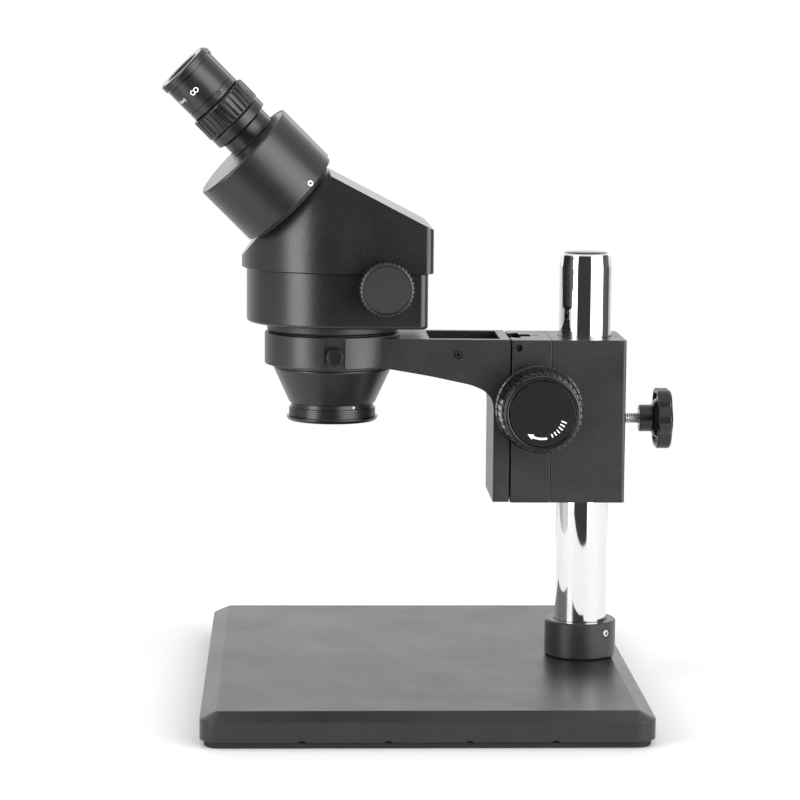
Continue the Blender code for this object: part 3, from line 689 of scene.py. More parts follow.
BLOCK_ROUND = 0.9
BLOCK_CORNER = 2.2
SLOT_MOUTH = 12
SLOT_FLOOR = 16
SLOT_DEPTH = 6.8
RACK_CHANNEL = 7
CHANNEL_DEPTH = 13.3
SLIT = 1
SLIT_DEPTH = 18.3
CLAMP_HOLE = 3.8
SHAFT_BORE = 7.1
GIB_HOLE = 2.2
SCREW_HOLE = 2.8
SCREW_HEAD_HOLE = 4.6


def focus_block_pieces():
    low, high = box_of("clamp_block")
    bore = measure("pillar", PILLAR)[0] + 0.6
    outline = [(high.x, low.y, 0.5), (high.x, high.y), (low.x, high.y), (low.x, low.y, 0.5)]
    outlines = [rounded(outline, BLOCK_CORNER, 6, True), circle((0, PILLAR_Y), bore, 96)]
    clamp = extruded("pillar_clamp", outlines, low.z, high.z, rounding=BLOCK_ROUND)
    cutters = [drill(CLAMP_HOLE, 110, 130, CLAMP)]
    for x, z in screw_axes():
        cutters.append(drill(SCREW_HOLE, 75, 93, backwards(x, z), 24))
    stand_for(smooth(carve(clamp, *cutters)), "clamp_block")

    low, high = box_of("rack_housing")
    half, front, seam = high.x, low.y, high.y
    right_side = [
        (half, seam, 0.5), (half, front, 1.2), (SLOT_MOUTH, front), (SLOT_FLOOR, front + SLOT_DEPTH),
        (RACK_CHANNEL, front + SLOT_DEPTH), (RACK_CHANNEL, front + CHANNEL_DEPTH),
        (SLIT, front + CHANNEL_DEPTH), (SLIT, front + SLIT_DEPTH),
    ]
    left_side = [(-point[0], *point[1:]) for point in reversed(right_side)]
    outline = rounded(right_side + left_side, 0.3, 3, True)
    outline = [(x, y) for x, y in reversed(outline)]
    housing = extruded("pinion_housing", [outline], low.z, high.z, rounding=0.25, segments=2)
    pinion = joint_at("pinion_turn")
    reach = 7.4
    pocket = block(
        (-6.7, pinion.y - reach, pinion.z - reach),
        (6.7, pinion.y + reach, pinion.z + reach),
    )
    cutters = [pocket, drill(SHAFT_BORE, -40, 40, FOCUS["right"])]
    for x, z in screw_axes():
        cutters.append(drill(SCREW_HOLE, 50, 85, backwards(x, z), 24))
        cutters.append(drill(SCREW_HEAD_HOLE, 50, 60.3, backwards(x, z), 32))
    gib = centre_of("gib_screw")
    cutters.append(drill(GIB_HOLE, 12, 31, sideways(1, gib.y, gib.z), 32))
    stand_for(smooth(carve(housing, *cutters)), "rack_housing")


def screw_axes():
    """(x, z) of the two screws that join the halves of the focus block."""
    return [centre_of(f"housing_screw_{end}").xz for end in ("upper", "lower")]


THREAD_PITCH = 1.25
THREAD_DEPTH = 0.45
STAR_LOBES = 6
STAR_DIP = 2.6


def clamp_pieces():
    radius, bottom, top = measure("clamp_bolt", CLAMP)
    knob_radius, hub_front, knob_top = measure("clamp_knob", CLAMP)
    thread_end = hub_front + 4
    rows = 10 * int((thread_end - bottom) / THREAD_PITCH)
    threaded = [thread_end + (bottom - thread_end) * row / rows for row in range(rows + 1)]
    profile = [(0, top), (radius, top)] + [(radius, height) for height in threaded] + [(0, bottom)]

    def thread(angle, _, height):
        turns = height / THREAD_PITCH - angle / (2 * pi)
        wave = abs((turns % 1) * 2 - 1)
        return THREAD_DEPTH * wave * fade(height, bottom, thread_end, 0.6)

    stand_for(smooth(lathe("clamp_stud", profile, CLAMP, 48, thread), 60), "clamp_bolt")
    hub = 8.3
    rim_front = 146.3
    rim_back = 154.4
    bore = radius + 0.3
    bore_top = top + 0.5
    profile = [
        (0, knob_top), (knob_radius * 0.5, knob_top - 0.5, 20), (knob_radius - 1.2, rim_back + 0.7, 2),
        (knob_radius, rim_back - 0.6, 0.8), (knob_radius, rim_front, 0.8),
        (knob_radius - 2.2, rim_front, 0.5), (knob_radius - 3.2, rim_front + 2.2, 0.4),
        (13, rim_front + 1.2, 1), (10.8, rim_front - 1.4, 0.6), (hub, rim_front - 2.6, 0.6),
        (hub, hub_front + 0.2, 0.6), (6.4, hub_front + 0.2, 0.3), (6.0, hub_front + 1.4),
        (bore, hub_front + 1.4), (bore, bore_top), (0, bore_top),
    ]

    def lobes(angle, at_radius, _):
        valley = 1 - sqrt(cos(STAR_LOBES * angle / 2) ** 2 + 0.004)
        return STAR_DIP * valley * max(0.0, (at_radius / knob_radius - 0.5) * 2)

    turned("star_knob", "clamp_knob", profile, CLAMP, 32 * STAR_LOBES, 5, False, None, lobes, 50)
    insert = [
        (5.7, hub_front + 0.2), (5.7, hub_front, 0.3), (bore, hub_front, 0.2), (bore, hub_front + 3),
        (5.7, hub_front + 3),
    ]
    insert = rounded(insert[::-1], 0, 3, True)
    belongs(smooth(lathe("knob_insert", insert, CLAMP, 64)), "clamp_bolt")


# ------- focus knobs

KNOB_GROOVES = 36
KNOB_GROOVE_SHARE = 0.34
KNOB_GROOVE_DEPTH = 1.0
CAP_RIM = 22.6
CAP_RECESS = 20.2
GRIP_FRONT = 24.4


def focus_knob_pieces():
    """A grooved cone between a flange at the back and the rim of the disc in front."""
    for name in SIDES:
        place = FOCUS[name]
        radius, inner, outer = measure(f"focus_knob_{name}", place)
        bore = 4.7
        recess = 57.5
        grip_start = inner + 3.6
        grip_end = outer - 4
        grip_back = radius - 0.9
        profile = [
            (CAP_RIM, outer, 1.4), (CAP_RIM + 0.2, grip_end + 0.3, 0.2),
            (GRIP_FRONT - 0.6, grip_end, 0.3), (GRIP_FRONT, grip_end - 0.8, 0.3),
            (GRIP_FRONT + 0.2, grip_end - 2), (grip_back - 0.2, grip_start + 1.2),
            (grip_back, grip_start), (radius, inner + 3, 0.3), (radius, inner, 0.6), (bore, inner),
            (bore, recess), (CAP_RECESS, recess), (CAP_RECESS, outer, 0.8),
        ]

        def grip(angle, at_radius, height):
            if at_radius < CAP_RIM + 0.5:
                return 0.0
            dip = groove_depth(angle, KNOB_GROOVES, KNOB_GROOVE_SHARE)
            return KNOB_GROOVE_DEPTH * dip * fade(height, grip_start, outer, 1.2)

        angles = groove_angles(KNOB_GROOVES, KNOB_GROOVE_SHARE, 6, 4)
        node = f"focus_knob_{name}"
        turned(f"focus_grip_{name}", node, profile, place, angles, 4, True, "gloss_black", grip, 40)
        radius, bottom, top = measure(f"focus_cap_{name}", place)
        cap_profile = [(0, top), (radius, top, 0.5), (radius, bottom), (0, bottom)]
        node = f"focus_cap_{name}"
        turned(f"focus_disc_{name}", node, cap_profile, place, 128, 4, False, "plastic_black")
    tension_marks()


MARK_LIFT = 0.06
ARROW_RADIUS = 15
ARROW_TAIL = -79
ARROW_NECK = -112
ARROW_TIP = -126
TICK_RADII = (13.2, 15.4)
TICK_ANGLES = range(-66, -14, 9)


def tension_marks():
    """A curved arrow and a row of ticks that grow towards tighter."""
    place = FOCUS["right"]
    level = measure("focus_cap_right", place)[2]
    paths = []
    shaft = arc((0, 0), ARROW_RADIUS, ARROW_TAIL, ARROW_NECK, 14)
    head = arc((0, 0), ARROW_RADIUS, ARROW_NECK, ARROW_TIP, 6)
    widths = [3.4 * (1 - step / 6) + 0.05 for step in range(7)]
    paths.append(stroke(shaft, 1.3))
    paths.append([(u, v, width) for (u, v), width in zip(head, widths)])
    for index, degrees in enumerate(TICK_ANGLES):
        angle = radians(degrees)
        inner, outer = TICK_RADII
        inner -= 0.25 * index
        ends = [(r * cos(angle), r * sin(angle)) for r in (inner, outer)]
        paths.append(stroke(ends, 0.8))
    marks = ribbons("tension_marks", paths, flat_print(level), MARK_LIFT, place)
    belongs(marks, "focus_cap_right", "white_ink")


# ------- arm

ARM_ROUND = 1.1
LOCK_HOLE = 2.8


def arm_pieces():
    low, high = box_of("focus_arm")
    half = 30
    ring_radius = RING_Y - low.y
    ring_bottom = 202
    ring_top = high.z
    carriage_front = 44
    carriage_back = 53.8
    arm_top = 219.8
    inside_ring = -28
    profile = [
        (inside_ring, arm_top, 0), (inside_ring, 202.4, 0), (-21.3, 201.8, 60), (5.3, 197.3, 200),
        (30.8, 191.9, 60), (38.2, 188.6, 12), (42, 184.8, 12), (43.6, 181, 12),
        (carriage_front, 176, 12), (carriage_front, low.z, 0.3), (carriage_back, low.z, 0.3),
        (carriage_back, arm_top - 0.3, 0.3),
    ]
    outline = rounded(profile, 0, 3, True)
    arm = extruded("arm_casting", [outline], -half, half, SIDE_VIEW, ARM_ROUND)
    boss_profile = [
        (0, ring_top), (ring_radius, ring_top, 0.9), (ring_radius, ring_bottom, 0.9), (0, ring_bottom),
    ]
    boss = lathe("ring_boss", rounded(boss_profile, 0, 4), RING, 160)
    rail_back = high.y
    root = carriage_back - 1.2
    rail_top = 213
    flare = (SLOT_FLOOR - SLOT_MOUTH) / SLOT_DEPTH
    running = 0.4
    block_front = box_of("rack_housing")[0].y
    right_side = [
        (SLOT_MOUTH + (root - block_front) * flare - running, root),
        (SLOT_MOUTH + (rail_back - block_front) * flare - running, rail_back), (5.3, rail_back),
        (5.3, 57.7),
    ]
    left_side = [(-x, y) for x, y in reversed(right_side)]
    rail = extruded("rail", [right_side + left_side], low.z + 0.5, rail_top)
    combine(arm, [boss, rail], "UNION")
    trough_profile = [
        (5, 240), (5, 202.8, 3), (30.8, 197.4, 10), (41, 192.4, 6), (48, 184, 1), (48, 240),
    ]
    trough_outline = rounded(trough_profile, 0, 4, True)
    trough = extruded("trough", [trough_outline], -24, 24, SIDE_VIEW, 1.5)
    bore = 38
    lead = 0.7
    bore_profile = [
        (0, ring_top + 9), (bore + lead, ring_top + 9), (bore + lead, ring_top),
        (bore, ring_top - lead), (bore, ring_bottom + lead), (bore + lead, ring_bottom),
        (bore + lead, ring_bottom - 9), (0, ring_bottom - 9),
    ]
    flat_x = 40.2
    flat = block((flat_x, -58.7, 195), (45, -46.3, 230))
    cutters = [trough, lathe("bore", bore_profile, RING, 160), flat]
    cutters.append(drill(LOCK_HOLE, 30, 45, LOCK))
    screw = centre_of("arm_set_screw")
    screw_place = sideways(1, screw.y, screw.z)
    cutters.append(drill(GRUB_HOLE, 20, 35, screw_place))
    carve(arm, *cutters)
    bevel(arm, 0.6, 2, 50)
    stand_for(smooth(arm, 30), "focus_arm")
    stand_for(set_screw("arm_grub_screw", "arm_set_screw", screw_place), "arm_set_screw")
    lock_screw_piece()


LOCK_KNURLS = 40


def lock_screw_piece():
    radius, bottom, top = measure("lock_screw", LOCK)
    foot = 40.7
    stud = 2.4
    profile = [
        (0, top - 0.4), (radius - 1.5, top - 0.4, 0.2), (radius - 1.2, top, 0.2), (radius - 0.6, top),
        (radius, top - 0.6), (radius, foot + 0.6), (radius - 0.6, foot), (stud, foot), (stud, bottom),
        (0, bottom),
    ]

    def knurl(angle, at_radius, _):
        dip = groove_depth(angle, LOCK_KNURLS, 0.7)
        return 0.35 * dip if at_radius > radius - 0.3 else 0.0

    turns = 6 * LOCK_KNURLS
    turned("head_lock_screw", "lock_screw", profile, LOCK, turns, 3, False, "plastic_black", knurl, 50)


# ------- head

HEAD_CORNER = 5
HEAD_WALL = 4
BODY_ROUND = 3
APEX = (-55.4, 318.7)
ROOF_BACK = (5.4, 287.3)
SLOPE_FOOT = (-100.2, 279.4)
CHIN_FOOT = (-108.8, 268)
COVER_ROUND = 2.0
SWIVEL_PLATE = 29
SWIVEL_BOSS = 13.6
LIGHT_HOLE = 12


def head_outline(inset):
    """The plan of the head body: a half circle in front, straight sides and a flat back."""
    low, high = box_of("head_body")
    half = high.x - inset
    middle = low.y + high.x
    back = high.y - inset
    corner = HEAD_CORNER
    points = arc((0, middle), half, 180, 360, 72)
    points += arc((half - corner, back - corner), corner, 0, 90, 8)
    points += arc((corner - half, back - corner), corner, 90, 180, 8)
    return points


def slice_above(piece, first, second, depth=0.0):
    """Cuts away what is above a plane along X through two (y, z) points, lowered by depth."""
    run = Vector((0, second[0] - first[0], second[1] - first[1]))
    normal = Vector((1, 0, 0)).cross(run).normalized()
    if normal.z < 0:
        normal = -normal
    work = bmesh.new()
    work.from_mesh(piece.data)
    cut = bmesh.ops.bisect_plane(
        work,
        geom=work.verts[:] + work.edges[:] + work.faces[:],
        dist=TINY,
        plane_co=(Vector((0, *first)) - normal * depth) * MM,
        plane_no=normal,
        clear_outer=True,
    )
    rim = [item for item in cut["geom_cut"] if isinstance(item, bmesh.types.BMEdge)]
    bmesh.ops.holes_fill(work, edges=rim)
    bmesh.ops.recalc_face_normals(work, faces=work.faces)
    work.to_mesh(piece.data)
    work.free()


def hood(name, inset, profile, depth):
    """The cover's form, or that of its cavity where depth is above zero."""
    form = swept(name, lambda extra: head_outline(inset + extra), profile)
    for first, second in ((APEX, ROOF_BACK), (SLOPE_FOOT, APEX), (CHIN_FOOT, SLOPE_FOOT)):
        slice_above(form, first, second, depth)
    return form


def head_pieces():
    low, high = box_of("head_body")
    profile = [(BODY_ROUND + 2, low.z), (0, low.z, BODY_ROUND), (0, high.z, 0.4), (2, high.z)]
    body = swept("head_casting", head_outline, rounded(profile, 0, 6))
    cavity_profile = [(0, low.z + HEAD_WALL), (0, high.z + 9)]
    cavity = swept("cavity", lambda inset: head_outline(HEAD_WALL + inset), cavity_profile)
    port = drill(31, 210, 240, RING, 128)
    shaft_hole = drill(4.3, -80, 80, ZOOM["right"])
    carve(body, cavity, port, shaft_hole)
    stand_for(smooth(body), "head_body", "head_black")

    cover_low, cover_high = box_of("head_cover")
    overhang = cover_high.x - high.x
    profile = [(2, cover_low.z), (0, cover_low.z, 0.5), (0, 330)]
    cover = hood("head_hood", -overhang, rounded(profile, 0, 3), 0)
    bevel(cover, COVER_ROUND, 4, 32)
    wall = HEAD_WALL + 0.5
    cavity = hood("cavity", wall - overhang, [(0, cover_low.z - 6), (0, 330)], HEAD_WALL)
    carve(cover, cavity)
    cutters = [drill(LIGHT_HOLE, 230, 290, DRUM[name], 64) for name in SIDES]
    carve(cover, *cutters)
    stand_for(smooth(cover, 24), "head_cover", "head_black")
    for name in SIDES:
        bottom = measure(f"prism_housing_{name}", DRUM[name])[1]
        plate_top = bottom - 0.3
        boss_profile = [
            (SWIVEL_PLATE, plate_top, 0.4), (SWIVEL_PLATE, plate_top - 2.2, 0.3),
            (SWIVEL_BOSS, plate_top - 2.2), (SWIVEL_BOSS, plate_top - 8.2),
            (LIGHT_HOLE, plate_top - 8.2), (LIGHT_HOLE, plate_top),
        ]
        boss = lathe(f"swivel_plate_{name}", rounded(boss_profile, 0, 3, True), DRUM[name])
        belongs(smooth(boss), "head_cover", "rubber_black")


def flange_piece():
    radius, bottom, top = measure("mount_flange", RING)
    underside = box_of("focus_arm")[1].z + 0.5
    spigot = 37.5
    bore = 33
    profile = [
        (radius, top, 0.5), (radius, underside + 1.2, 0.5), (radius - 1, underside, 0.4),
        (spigot, underside), (spigot, bottom, 0.6), (bore, bottom), (bore, top),
    ]
    turned("head_flange", "mount_flange", profile, RING, 192, 4, True, "plastic_matte")


# ------- objective


def objective_pieces():
    neck, bottom, top = measure("objective_cone", RING)
    shoulder = 200.2
    profile = [
        (32.7, top, 0.5), (32.7, shoulder), (neck, shoulder, 0.5), (neck - 0.2, shoulder - 1.2, 1),
        (26.9, bottom + 1.3, 1), (26.3, bottom, 0.4), (22.8, bottom), (29.5, 197), (29.5, top),
    ]
    turned("objective_skirt", "objective_cone", profile, RING, 192, 4)

    radius, bottom, top = measure("objective_ring", RING)
    inner = 22.6
    waist = radius - 1.3
    profile = [(waist, top), (waist, top - 2.4), (radius - 0.1, top - 2.7)]
    for step in range(4):
        profile += ring_groove(radius, top - (3.6 + 1.15 * step), 0.45, 0.35)
    profile += [(radius, bottom), (inner, bottom), (inner, top)]
    barrel = lathe("objective_barrel", profile, RING, 192)
    screw_angle = radians(31)
    outward = Vector((cos(screw_angle), sin(screw_angle), 0))
    origin = (0, RING_Y, top - 1.3)
    screw_place = axes(origin, (0, 0, 1), outward)
    carve(barrel, drill(0.9, waist - 1, waist + 3, screw_place, 24))
    stand_for(smooth(barrel, 30), "objective_ring")
    screw_top = waist - 0.15
    grub_profile = [(0, screw_top), (0.8, screw_top, 0.2), (0.8, waist - 0.9), (0, waist - 0.9)]
    grub = lathe("objective_grub_screw", rounded(grub_profile, 0, 3), screw_place, 24)
    belongs(smooth(grub), "objective_ring", "zinc")

    radius, bottom, top = measure("objective_cap", RING)
    mouth = 21
    profile = [
        (radius, top, 0.3), (radius, top - 0.8, 0.4), (radius - 1.1, bottom, 0.7),
        (mouth + 1, bottom, 0.4), (mouth, bottom + 1), (mouth, top),
    ]
    turned("objective_rim", "objective_cap", profile, RING, 192, 4)
    lens_piece("objective_front_lens", "objective_glass", RING, -1)


def lens_piece(name, node, place, outwards):
    """A lens whose outer face bulges along the place's Z, or against it where outwards is -1."""
    radius, bottom, top = measure(node, place)
    bulge = 0.8
    upper = [(0, top)]
    lower = [(radius, bottom + 0.3), (radius - 0.3, bottom), (0, bottom)]
    curve = [(radius * sin(a), bulge * cos(a)) for a in quarter_turn(10)]
    if outwards > 0:
        upper = [(r, top - bulge + z) for r, z in curve]
    else:
        upper += [(radius - 0.3, top), (radius, top - 0.3)]
        lower = [(r, bottom + bulge - z) for r, z in reversed(curve)]
    stand_for(smooth(lathe(name, upper + lower, place, 96)), node)


# ------- zoom knobs

ZOOM_GROOVES = 36


def zoom_knob_pieces():
    for name in SIDES:
        place = ZOOM[name]
        radius, inner, outer = measure(f"zoom_knob_{name}", place)
        bore = 4.3
        bore_end = 72.3
        profile = [
            (0, outer - 0.5), (radius - 2.6, outer - 0.5), (radius - 2.6, outer, 0.15),
            (radius - 1.9, outer, 0.3), (radius - 1.5, outer - 0.5), (radius - 0.6, outer - 0.7, 0.5),
            (radius, outer - 1.4, 0.5), (radius, inner + 1.2), (radius, inner, 0.6), (bore, inner),
            (bore, bore_end), (0, bore_end),
        ]

        def grip(angle, at_radius, height):
            dip = groove_depth(angle, ZOOM_GROOVES, 0.5)
            edge = max(0.0, min(1.0, (at_radius - radius + 1.5) / 0.9))
            return edge * 0.65 * dip * fade(height, inner + 0.3, outer + 2, 1)

        node = f"zoom_knob_{name}"
        turns = 10 * ZOOM_GROOVES
        turned(f"zoom_grip_{name}", node, profile, place, turns, 3, False, "plastic_black", grip, 45)
        level = outer - 0.1
        edge = radius - 2.65
        face = [(0, level), (edge, level, 0.15), (edge, outer - 0.48), (0, outer - 0.48)]
        face = lathe(f"zoom_face_{name}", rounded(face, 0, 3), place, 96)
        belongs(smooth(face), f"zoom_knob_{name}", "plastic_matte")


# ------- eyepiece tubes

RIB_COUNT = 30
RIB_SHARE = 0.44
RIB_DEPTH = 0.95


def prism_housing_pieces():
    for name in SIDES:
        place = DRUM[name]
        radius, bottom, top = measure(f"prism_housing_{name}", place)
        wall = 3
        ceiling = top - 4
        profile = [
            (0, top), (radius, top, 1.6), (radius, bottom, 0.7), (radius - wall, bottom),
            (radius - wall, ceiling), (0, ceiling),
        ]
        drum = lathe(f"prism_drum_{name}", rounded(profile, 0, 6), place, 192)
        carve(drum, drill(12.3, 290, 320, EYE[name], 96))
        stand_for(smooth(drum, 40), f"prism_housing_{name}", "head_black")


def eye_tube_pieces():
    for name in SIDES:
        place = EYE[name]
        collar, bottom, top = measure(f"eye_tube_{name}", place)
        neck = 15.2
        sleeve = 16.3
        bore = 12
        seat = 15.5
        collar_low = 320.6
        collar_high = 326.8
        profile = [
            (sleeve, top), (sleeve, collar_high), (collar, collar_high, 0.5), (collar, collar_low, 0.6),
            (neck + 1.2, collar_low), (neck, collar_low - 1.2), (neck, bottom + 0.5),
            (neck + 0.5, bottom), (bore, bottom), (bore, 321.5), (seat, 321.5), (seat, top),
        ]
        turned(f"eyepiece_tube_{name}", f"eye_tube_{name}", profile, place, 128, 4)
        diopter_ring_piece(name, place)
        eyepiece_piece(name, place)
        lens_piece(f"eyepiece_lens_{name}", f"eye_lens_{name}", place, 1)


def diopter_ring_piece(name, place):
    outer, bottom, top = measure(f"diopter_ring_{name}", place)
    inner = 16.7
    rib_low = bottom + 1.2
    rib_high = top - 1.0
    profile = [
        (outer - 0.7, top, 0.2), (outer, top - 0.9, 0.3), (outer, rib_high - 0.8),
        (outer, rib_low + 0.8), (outer, bottom + 0.9, 0.3), (outer - 0.5, bottom, 0.2), (inner, bottom),
        (inner, top),
    ]

    def ribs(angle, at_radius, height):
        if at_radius < inner + 1:
            return 0.0
        dip = min(1.0, 1.6 * groove_depth(angle, RIB_COUNT, RIB_SHARE))
        return RIB_DEPTH * dip * fade(height, rib_low, top + 1, 0.6)

    angles = groove_angles(RIB_COUNT, RIB_SHARE, 6, 3)
    node = f"diopter_ring_{name}"
    turned(f"diopter_grip_{name}", node, profile, place, angles, 3, True, "plastic_black", ribs, 45)


def eyepiece_piece(name, place):
    _, bottom, top = measure(f"eyepiece_{name}", place)
    cap = 17.35
    barrel = 16.5
    cap_bottom = 365.9
    sleeve = 15
    sleeve_top = 342.1
    bore = 12
    mouth = 15.7
    eye_hole = 11
    band_top = 347.4
    profile = [(cap - 0.7, top, 0.3), (cap, top - 0.9, 0.3)]
    profile += ring_groove(cap, top - 2.6, 0.35, 0.2)
    profile += [(cap, cap_bottom, 0.3), (barrel - 0.9, cap_bottom)]
    profile += [(barrel - 0.9, cap_bottom - 0.9), (barrel, cap_bottom - 1.0)]
    profile += ring_groove(barrel, band_top, 0.8, 0.8)
    profile += [
        (barrel, sleeve_top + 0.9, 0.2), (barrel - 0.6, sleeve_top, 0.2), (sleeve, sleeve_top),
        (sleeve, bottom), (bore, bottom), (bore, 364.5), (13.2, 364.5), (13.2, top - 2.4),
        (mouth, top - 2.4), (mouth + 0.2, top, 0.2),
    ]
    turned(f"eyepiece_barrel_{name}", f"eyepiece_{name}", profile, place, 160)
    plate = [
        (eye_hole, top - 2.3), (mouth - 0.05, top - 2.3), (mouth - 0.05, top - 0.1, 0.2),
        (eye_hole + 1, top - 0.1, 0.3), (eye_hole, top - 1.2, 0.3),
    ]
    plate = lathe(f"eye_plate_{name}", rounded(plate, 0, 3, True), place, 128)
    belongs(smooth(plate), f"eyepiece_{name}", "gloss_black")
    eyepiece_marks(name, place, barrel, band_top)


# Angles run round the barrel in degrees, from straight out to the side towards the top
MARK_ALONG = 356.6
PAIR_ANGLES = (-20, -11)
PAIR_RADIUS = 1.3
EYE_TICK_ANGLES = (-47, -53, -59, -65, -71)
INDEX_ANGLE = 18


def eyepiece_marks(name, place, barrel, band_top):
    """A generic pair of rings and a row of ticks, and the index ring on the band."""
    surface = round_print(barrel)

    def around(degrees):
        angle = radians(degrees)
        return barrel * (angle if SIDES[name] > 0 else pi - angle)

    paths = []
    for degrees in PAIR_ANGLES:
        ring = arc((around(degrees), MARK_ALONG), PAIR_RADIUS, 0, 360, 20)
        paths.append(stroke(ring, 0.6))
    for index, degrees in enumerate(EYE_TICK_ANGLES):
        half = 1.1 - 0.35 * (index % 2)
        u = around(degrees)
        paths.append(stroke([(u, MARK_ALONG - half), (u, MARK_ALONG + half)], 0.6))
    marks = ribbons(f"eyepiece_marks_{name}", paths, surface, MARK_LIFT, place)
    belongs(marks, f"eyepiece_{name}", "white_ink")
    index = arc((around(INDEX_ANGLE), band_top - 1.6), 0.95, 0, 360, 20)
    ring = ribbons(f"index_ring_{name}", [stroke(index, 0.7)], surface, 0.3, place)
    belongs(ring, f"eyepiece_{name}", "rubber_black")


SWING_MARK_ANGLE = 29


def drum_marks():
    """The white ring on the outer side of each drum, which shows where its tube swings to."""
    for name, side in SIDES.items():
        place = DRUM[name]
        radius, bottom, _ = measure(f"prism_housing_{name}", place)
        middle = radius * radians(SWING_MARK_ANGLE if side > 0 else 180 - SWING_MARK_ANGLE)
        ring = arc((middle, bottom + 2.2), 1.35, 0, 360, 24)
        paths = [stroke(ring, 0.8)]
        mark = ribbons(f"swing_mark_{name}", paths, round_print(radius), MARK_LIFT, place)
        belongs(mark, f"prism_housing_{name}", "white_ink")


# ------- CAD nodes that stay

SMALL_EDGE = 0.15


def finish_cad_nodes():
    """Shafts, gears, screws, bushes and inner glass keep their CAD shape, with softened edges."""
    for name, node in NODES.items():
        if node.hide_render:
            continue
        paint(node, SLOT_OF[name])
        edges = node.modifiers.new("soft_edges", "BEVEL")
        edges.width = SMALL_EDGE * MM
        edges.segments = 2
        edges.limit_method = "ANGLE"
        edges.angle_limit = radians(40)
        weighted = node.modifiers.new("flat_faces", "WEIGHTED_NORMAL")
        weighted.keep_sharp = True


# ------- studio

BACKDROP = 1.0
# Brightness of the room by azimuth in degrees, from +X towards +Y: soft boxes and dark gaps
ROOM = (
    (-180, 1.5), (-150, 1.5), (-115, 0.8), (-68, 0.8), (-66, 6.6), (-43, 6.6), (-41, 0.05), (18, 0.05),
    (20, 3.0), (40, 5.6), (75, 5.6), (78, 0.12), (118, 0.16), (121, 0.8), (150, 1.5), (180, 1.5),
)
CEILING = 1.0
CEILING_STARTS = 0.45
CEILING_FULL = 0.62
# The wall behind the microscope fades upwards between two heights to a share of its brightness
WALL_FADE = (0.2, 0.42, 0.72)
# What that wall is dimmed to below the level of the table
GROUND = 0.62


def by_azimuth(tree, turn, stops):
    """The brightness at a turn from 0 to 1, read from (azimuth in degrees, brightness) stops."""
    brightest = max(value for _, value in stops)
    ramp = graph_node(tree, "ValToRGB", {"Fac": turn})
    elements = ramp.color_ramp.elements
    while len(elements) > 1:
        elements.remove(elements[-1])
    elements[0].position = 0
    elements[0].color = (*[stops[0][1] / brightest] * 3, 1)
    for degrees, value in stops[1:]:
        element = elements.new(degrees / 360 + 0.5)
        element.color = (*[value / brightest] * 3, 1)
    return add_maths(tree, "MULTIPLY", ramp.outputs["Color"], brightest)


def studio():
    """A white room with soft boxes beside the camera and a bright ceiling."""
    world = bpy.data.worlds.new("studio")
    bpy.context.scene.world = world
    world.use_nodes = True
    tree = world.node_tree
    tree.nodes.clear()
    direction = graph_node(tree, "TexCoord").outputs["Generated"]
    parts = graph_node(tree, "SeparateXYZ", {"Vector": direction}).outputs
    azimuth = add_maths(tree, "ARCTAN2", parts["Y"], parts["X"])
    turn = add_maths(tree, "ADD", add_maths(tree, "DIVIDE", azimuth, 2 * pi), 0.5)
    walls = by_azimuth(tree, turn, ROOM)
    low, high, share = WALL_FADE
    behind = ranged(tree, parts["X"], 0, -0.35, 0, 1)
    high_up = ranged(tree, parts["Z"], low, high, 0, 1 - share)
    below = ranged(tree, parts["Z"], 0.01, -0.02, 0, 1 - GROUND)
    lost = add_maths(tree, "MULTIPLY", behind, add_maths(tree, "ADD", high_up, below))
    walls = add_maths(tree, "MULTIPLY", walls, add_maths(tree, "SUBTRACT", 1, lost))
    overhead = ranged(tree, parts["Z"], CEILING_STARTS, CEILING_FULL, 0, 1)
    mixed = graph_node(tree, "Mix", {0: overhead, 2: walls, 3: CEILING}).outputs[0]
    room = graph_node(tree, "Background", {"Strength": mixed})
    plain = graph_node(tree, "Background", {"Strength": BACKDROP})
    for background in (room, plain):
        background.inputs["Color"].default_value = (1, 1, 1, 1)
    seen = graph_node(tree, "LightPath").outputs["Is Camera Ray"]
    choice = {0: seen, 1: room.outputs[0], 2: plain.outputs[0]}
    mix = graph_node(tree, "MixShader", choice)
    output = graph_node(tree, "OutputWorld")
    tree.links.new(mix.outputs[0], output.inputs["Surface"])


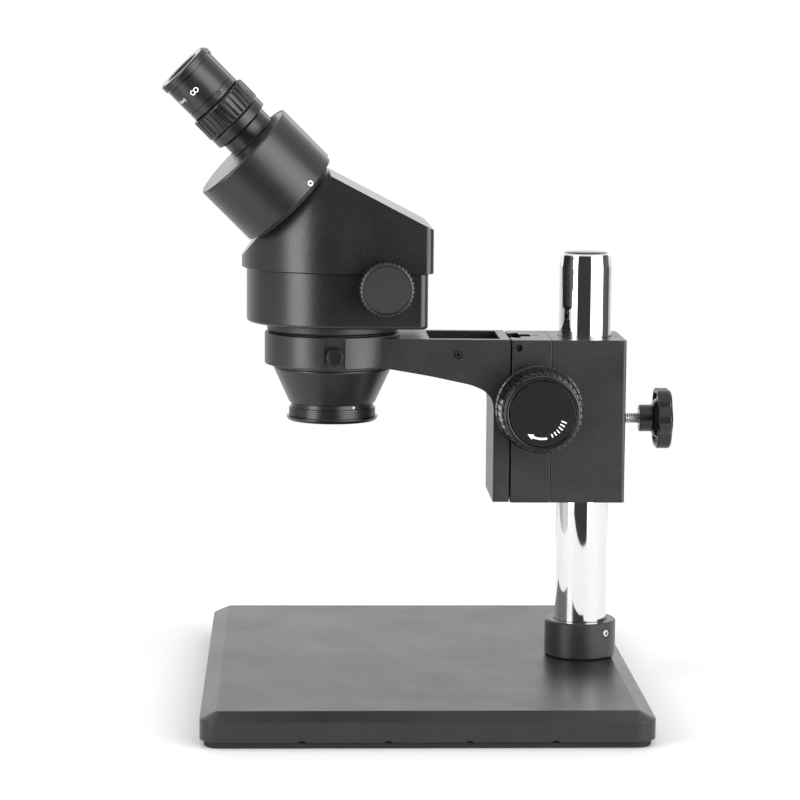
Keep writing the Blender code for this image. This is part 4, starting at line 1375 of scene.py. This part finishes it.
FLOOR_LOW = (-500, -470)
FLOOR_HIGH = (520, 1100)
FLOOR_LEVEL = -0.1
FLOOR_COLOUR = (0.95, 0.95, 0.95, 1)


def floor():
    """A white table top. It ends between the microscope and the camera; past it the room is reflected."""
    (x0, y0), (x1, y1) = FLOOR_LOW, FLOOR_HIGH
    points = [(x, y, FLOOR_LEVEL) for x, y in ((x0, y0), (x1, y0), (x1, y1), (x0, y1))]
    sheet = new_piece("studio_floor", points, [[0, 1, 2, 3]])
    material = bpy.data.materials.new("studio_paper")
    material.use_nodes = True
    shader = material.node_tree.nodes["Principled BSDF"]
    shader.inputs["Base Color"].default_value = FLOOR_COLOUR
    shader.inputs["Roughness"].default_value = 0.8
    shader.inputs["Specular IOR Level"].default_value = 0.2
    sheet.data.materials.append(material)
    sheet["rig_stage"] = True


CAMERA_AT = (1657, -78.61, 386.9)
CAMERA_DOWN = 0.1247
CAMERA_YAW = -0.04044
CAMERA_ROLL = 0.007833
CAMERA_LENS = 122.2


def camera():
    """The camera looks along -X from the user's right, a little down."""
    level = cos(CAMERA_DOWN)
    forward = Vector(
        (-cos(CAMERA_YAW) * level, -sin(CAMERA_YAW) * level, -sin(CAMERA_DOWN))
    )
    right = forward.cross(Vector((0, 0, 1))).normalized()
    up = right.cross(forward)
    rolled_right = right * cos(CAMERA_ROLL) + up * sin(CAMERA_ROLL)
    data = bpy.data.cameras.new("camera")
    data.lens = CAMERA_LENS
    data.clip_end = 200
    place = axes(CAMERA_AT, rolled_right, -forward)
    bpy.context.scene.camera = add_object("camera", data, place)
    bpy.context.scene.view_settings.view_transform = "Standard"


stand_pieces()
pillar_pieces()
focus_block_pieces()
clamp_pieces()
focus_knob_pieces()
arm_pieces()
head_pieces()
flange_piece()
objective_pieces()
zoom_knob_pieces()
prism_housing_pieces()
eye_tube_pieces()
drum_marks()
finish_cad_nodes()
studio()
floor()
camera()
sizes = {"cad": CAD_BOX, "visual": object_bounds()}
{name: [list(corner) for corner in box] for name, box in sizes.items()}
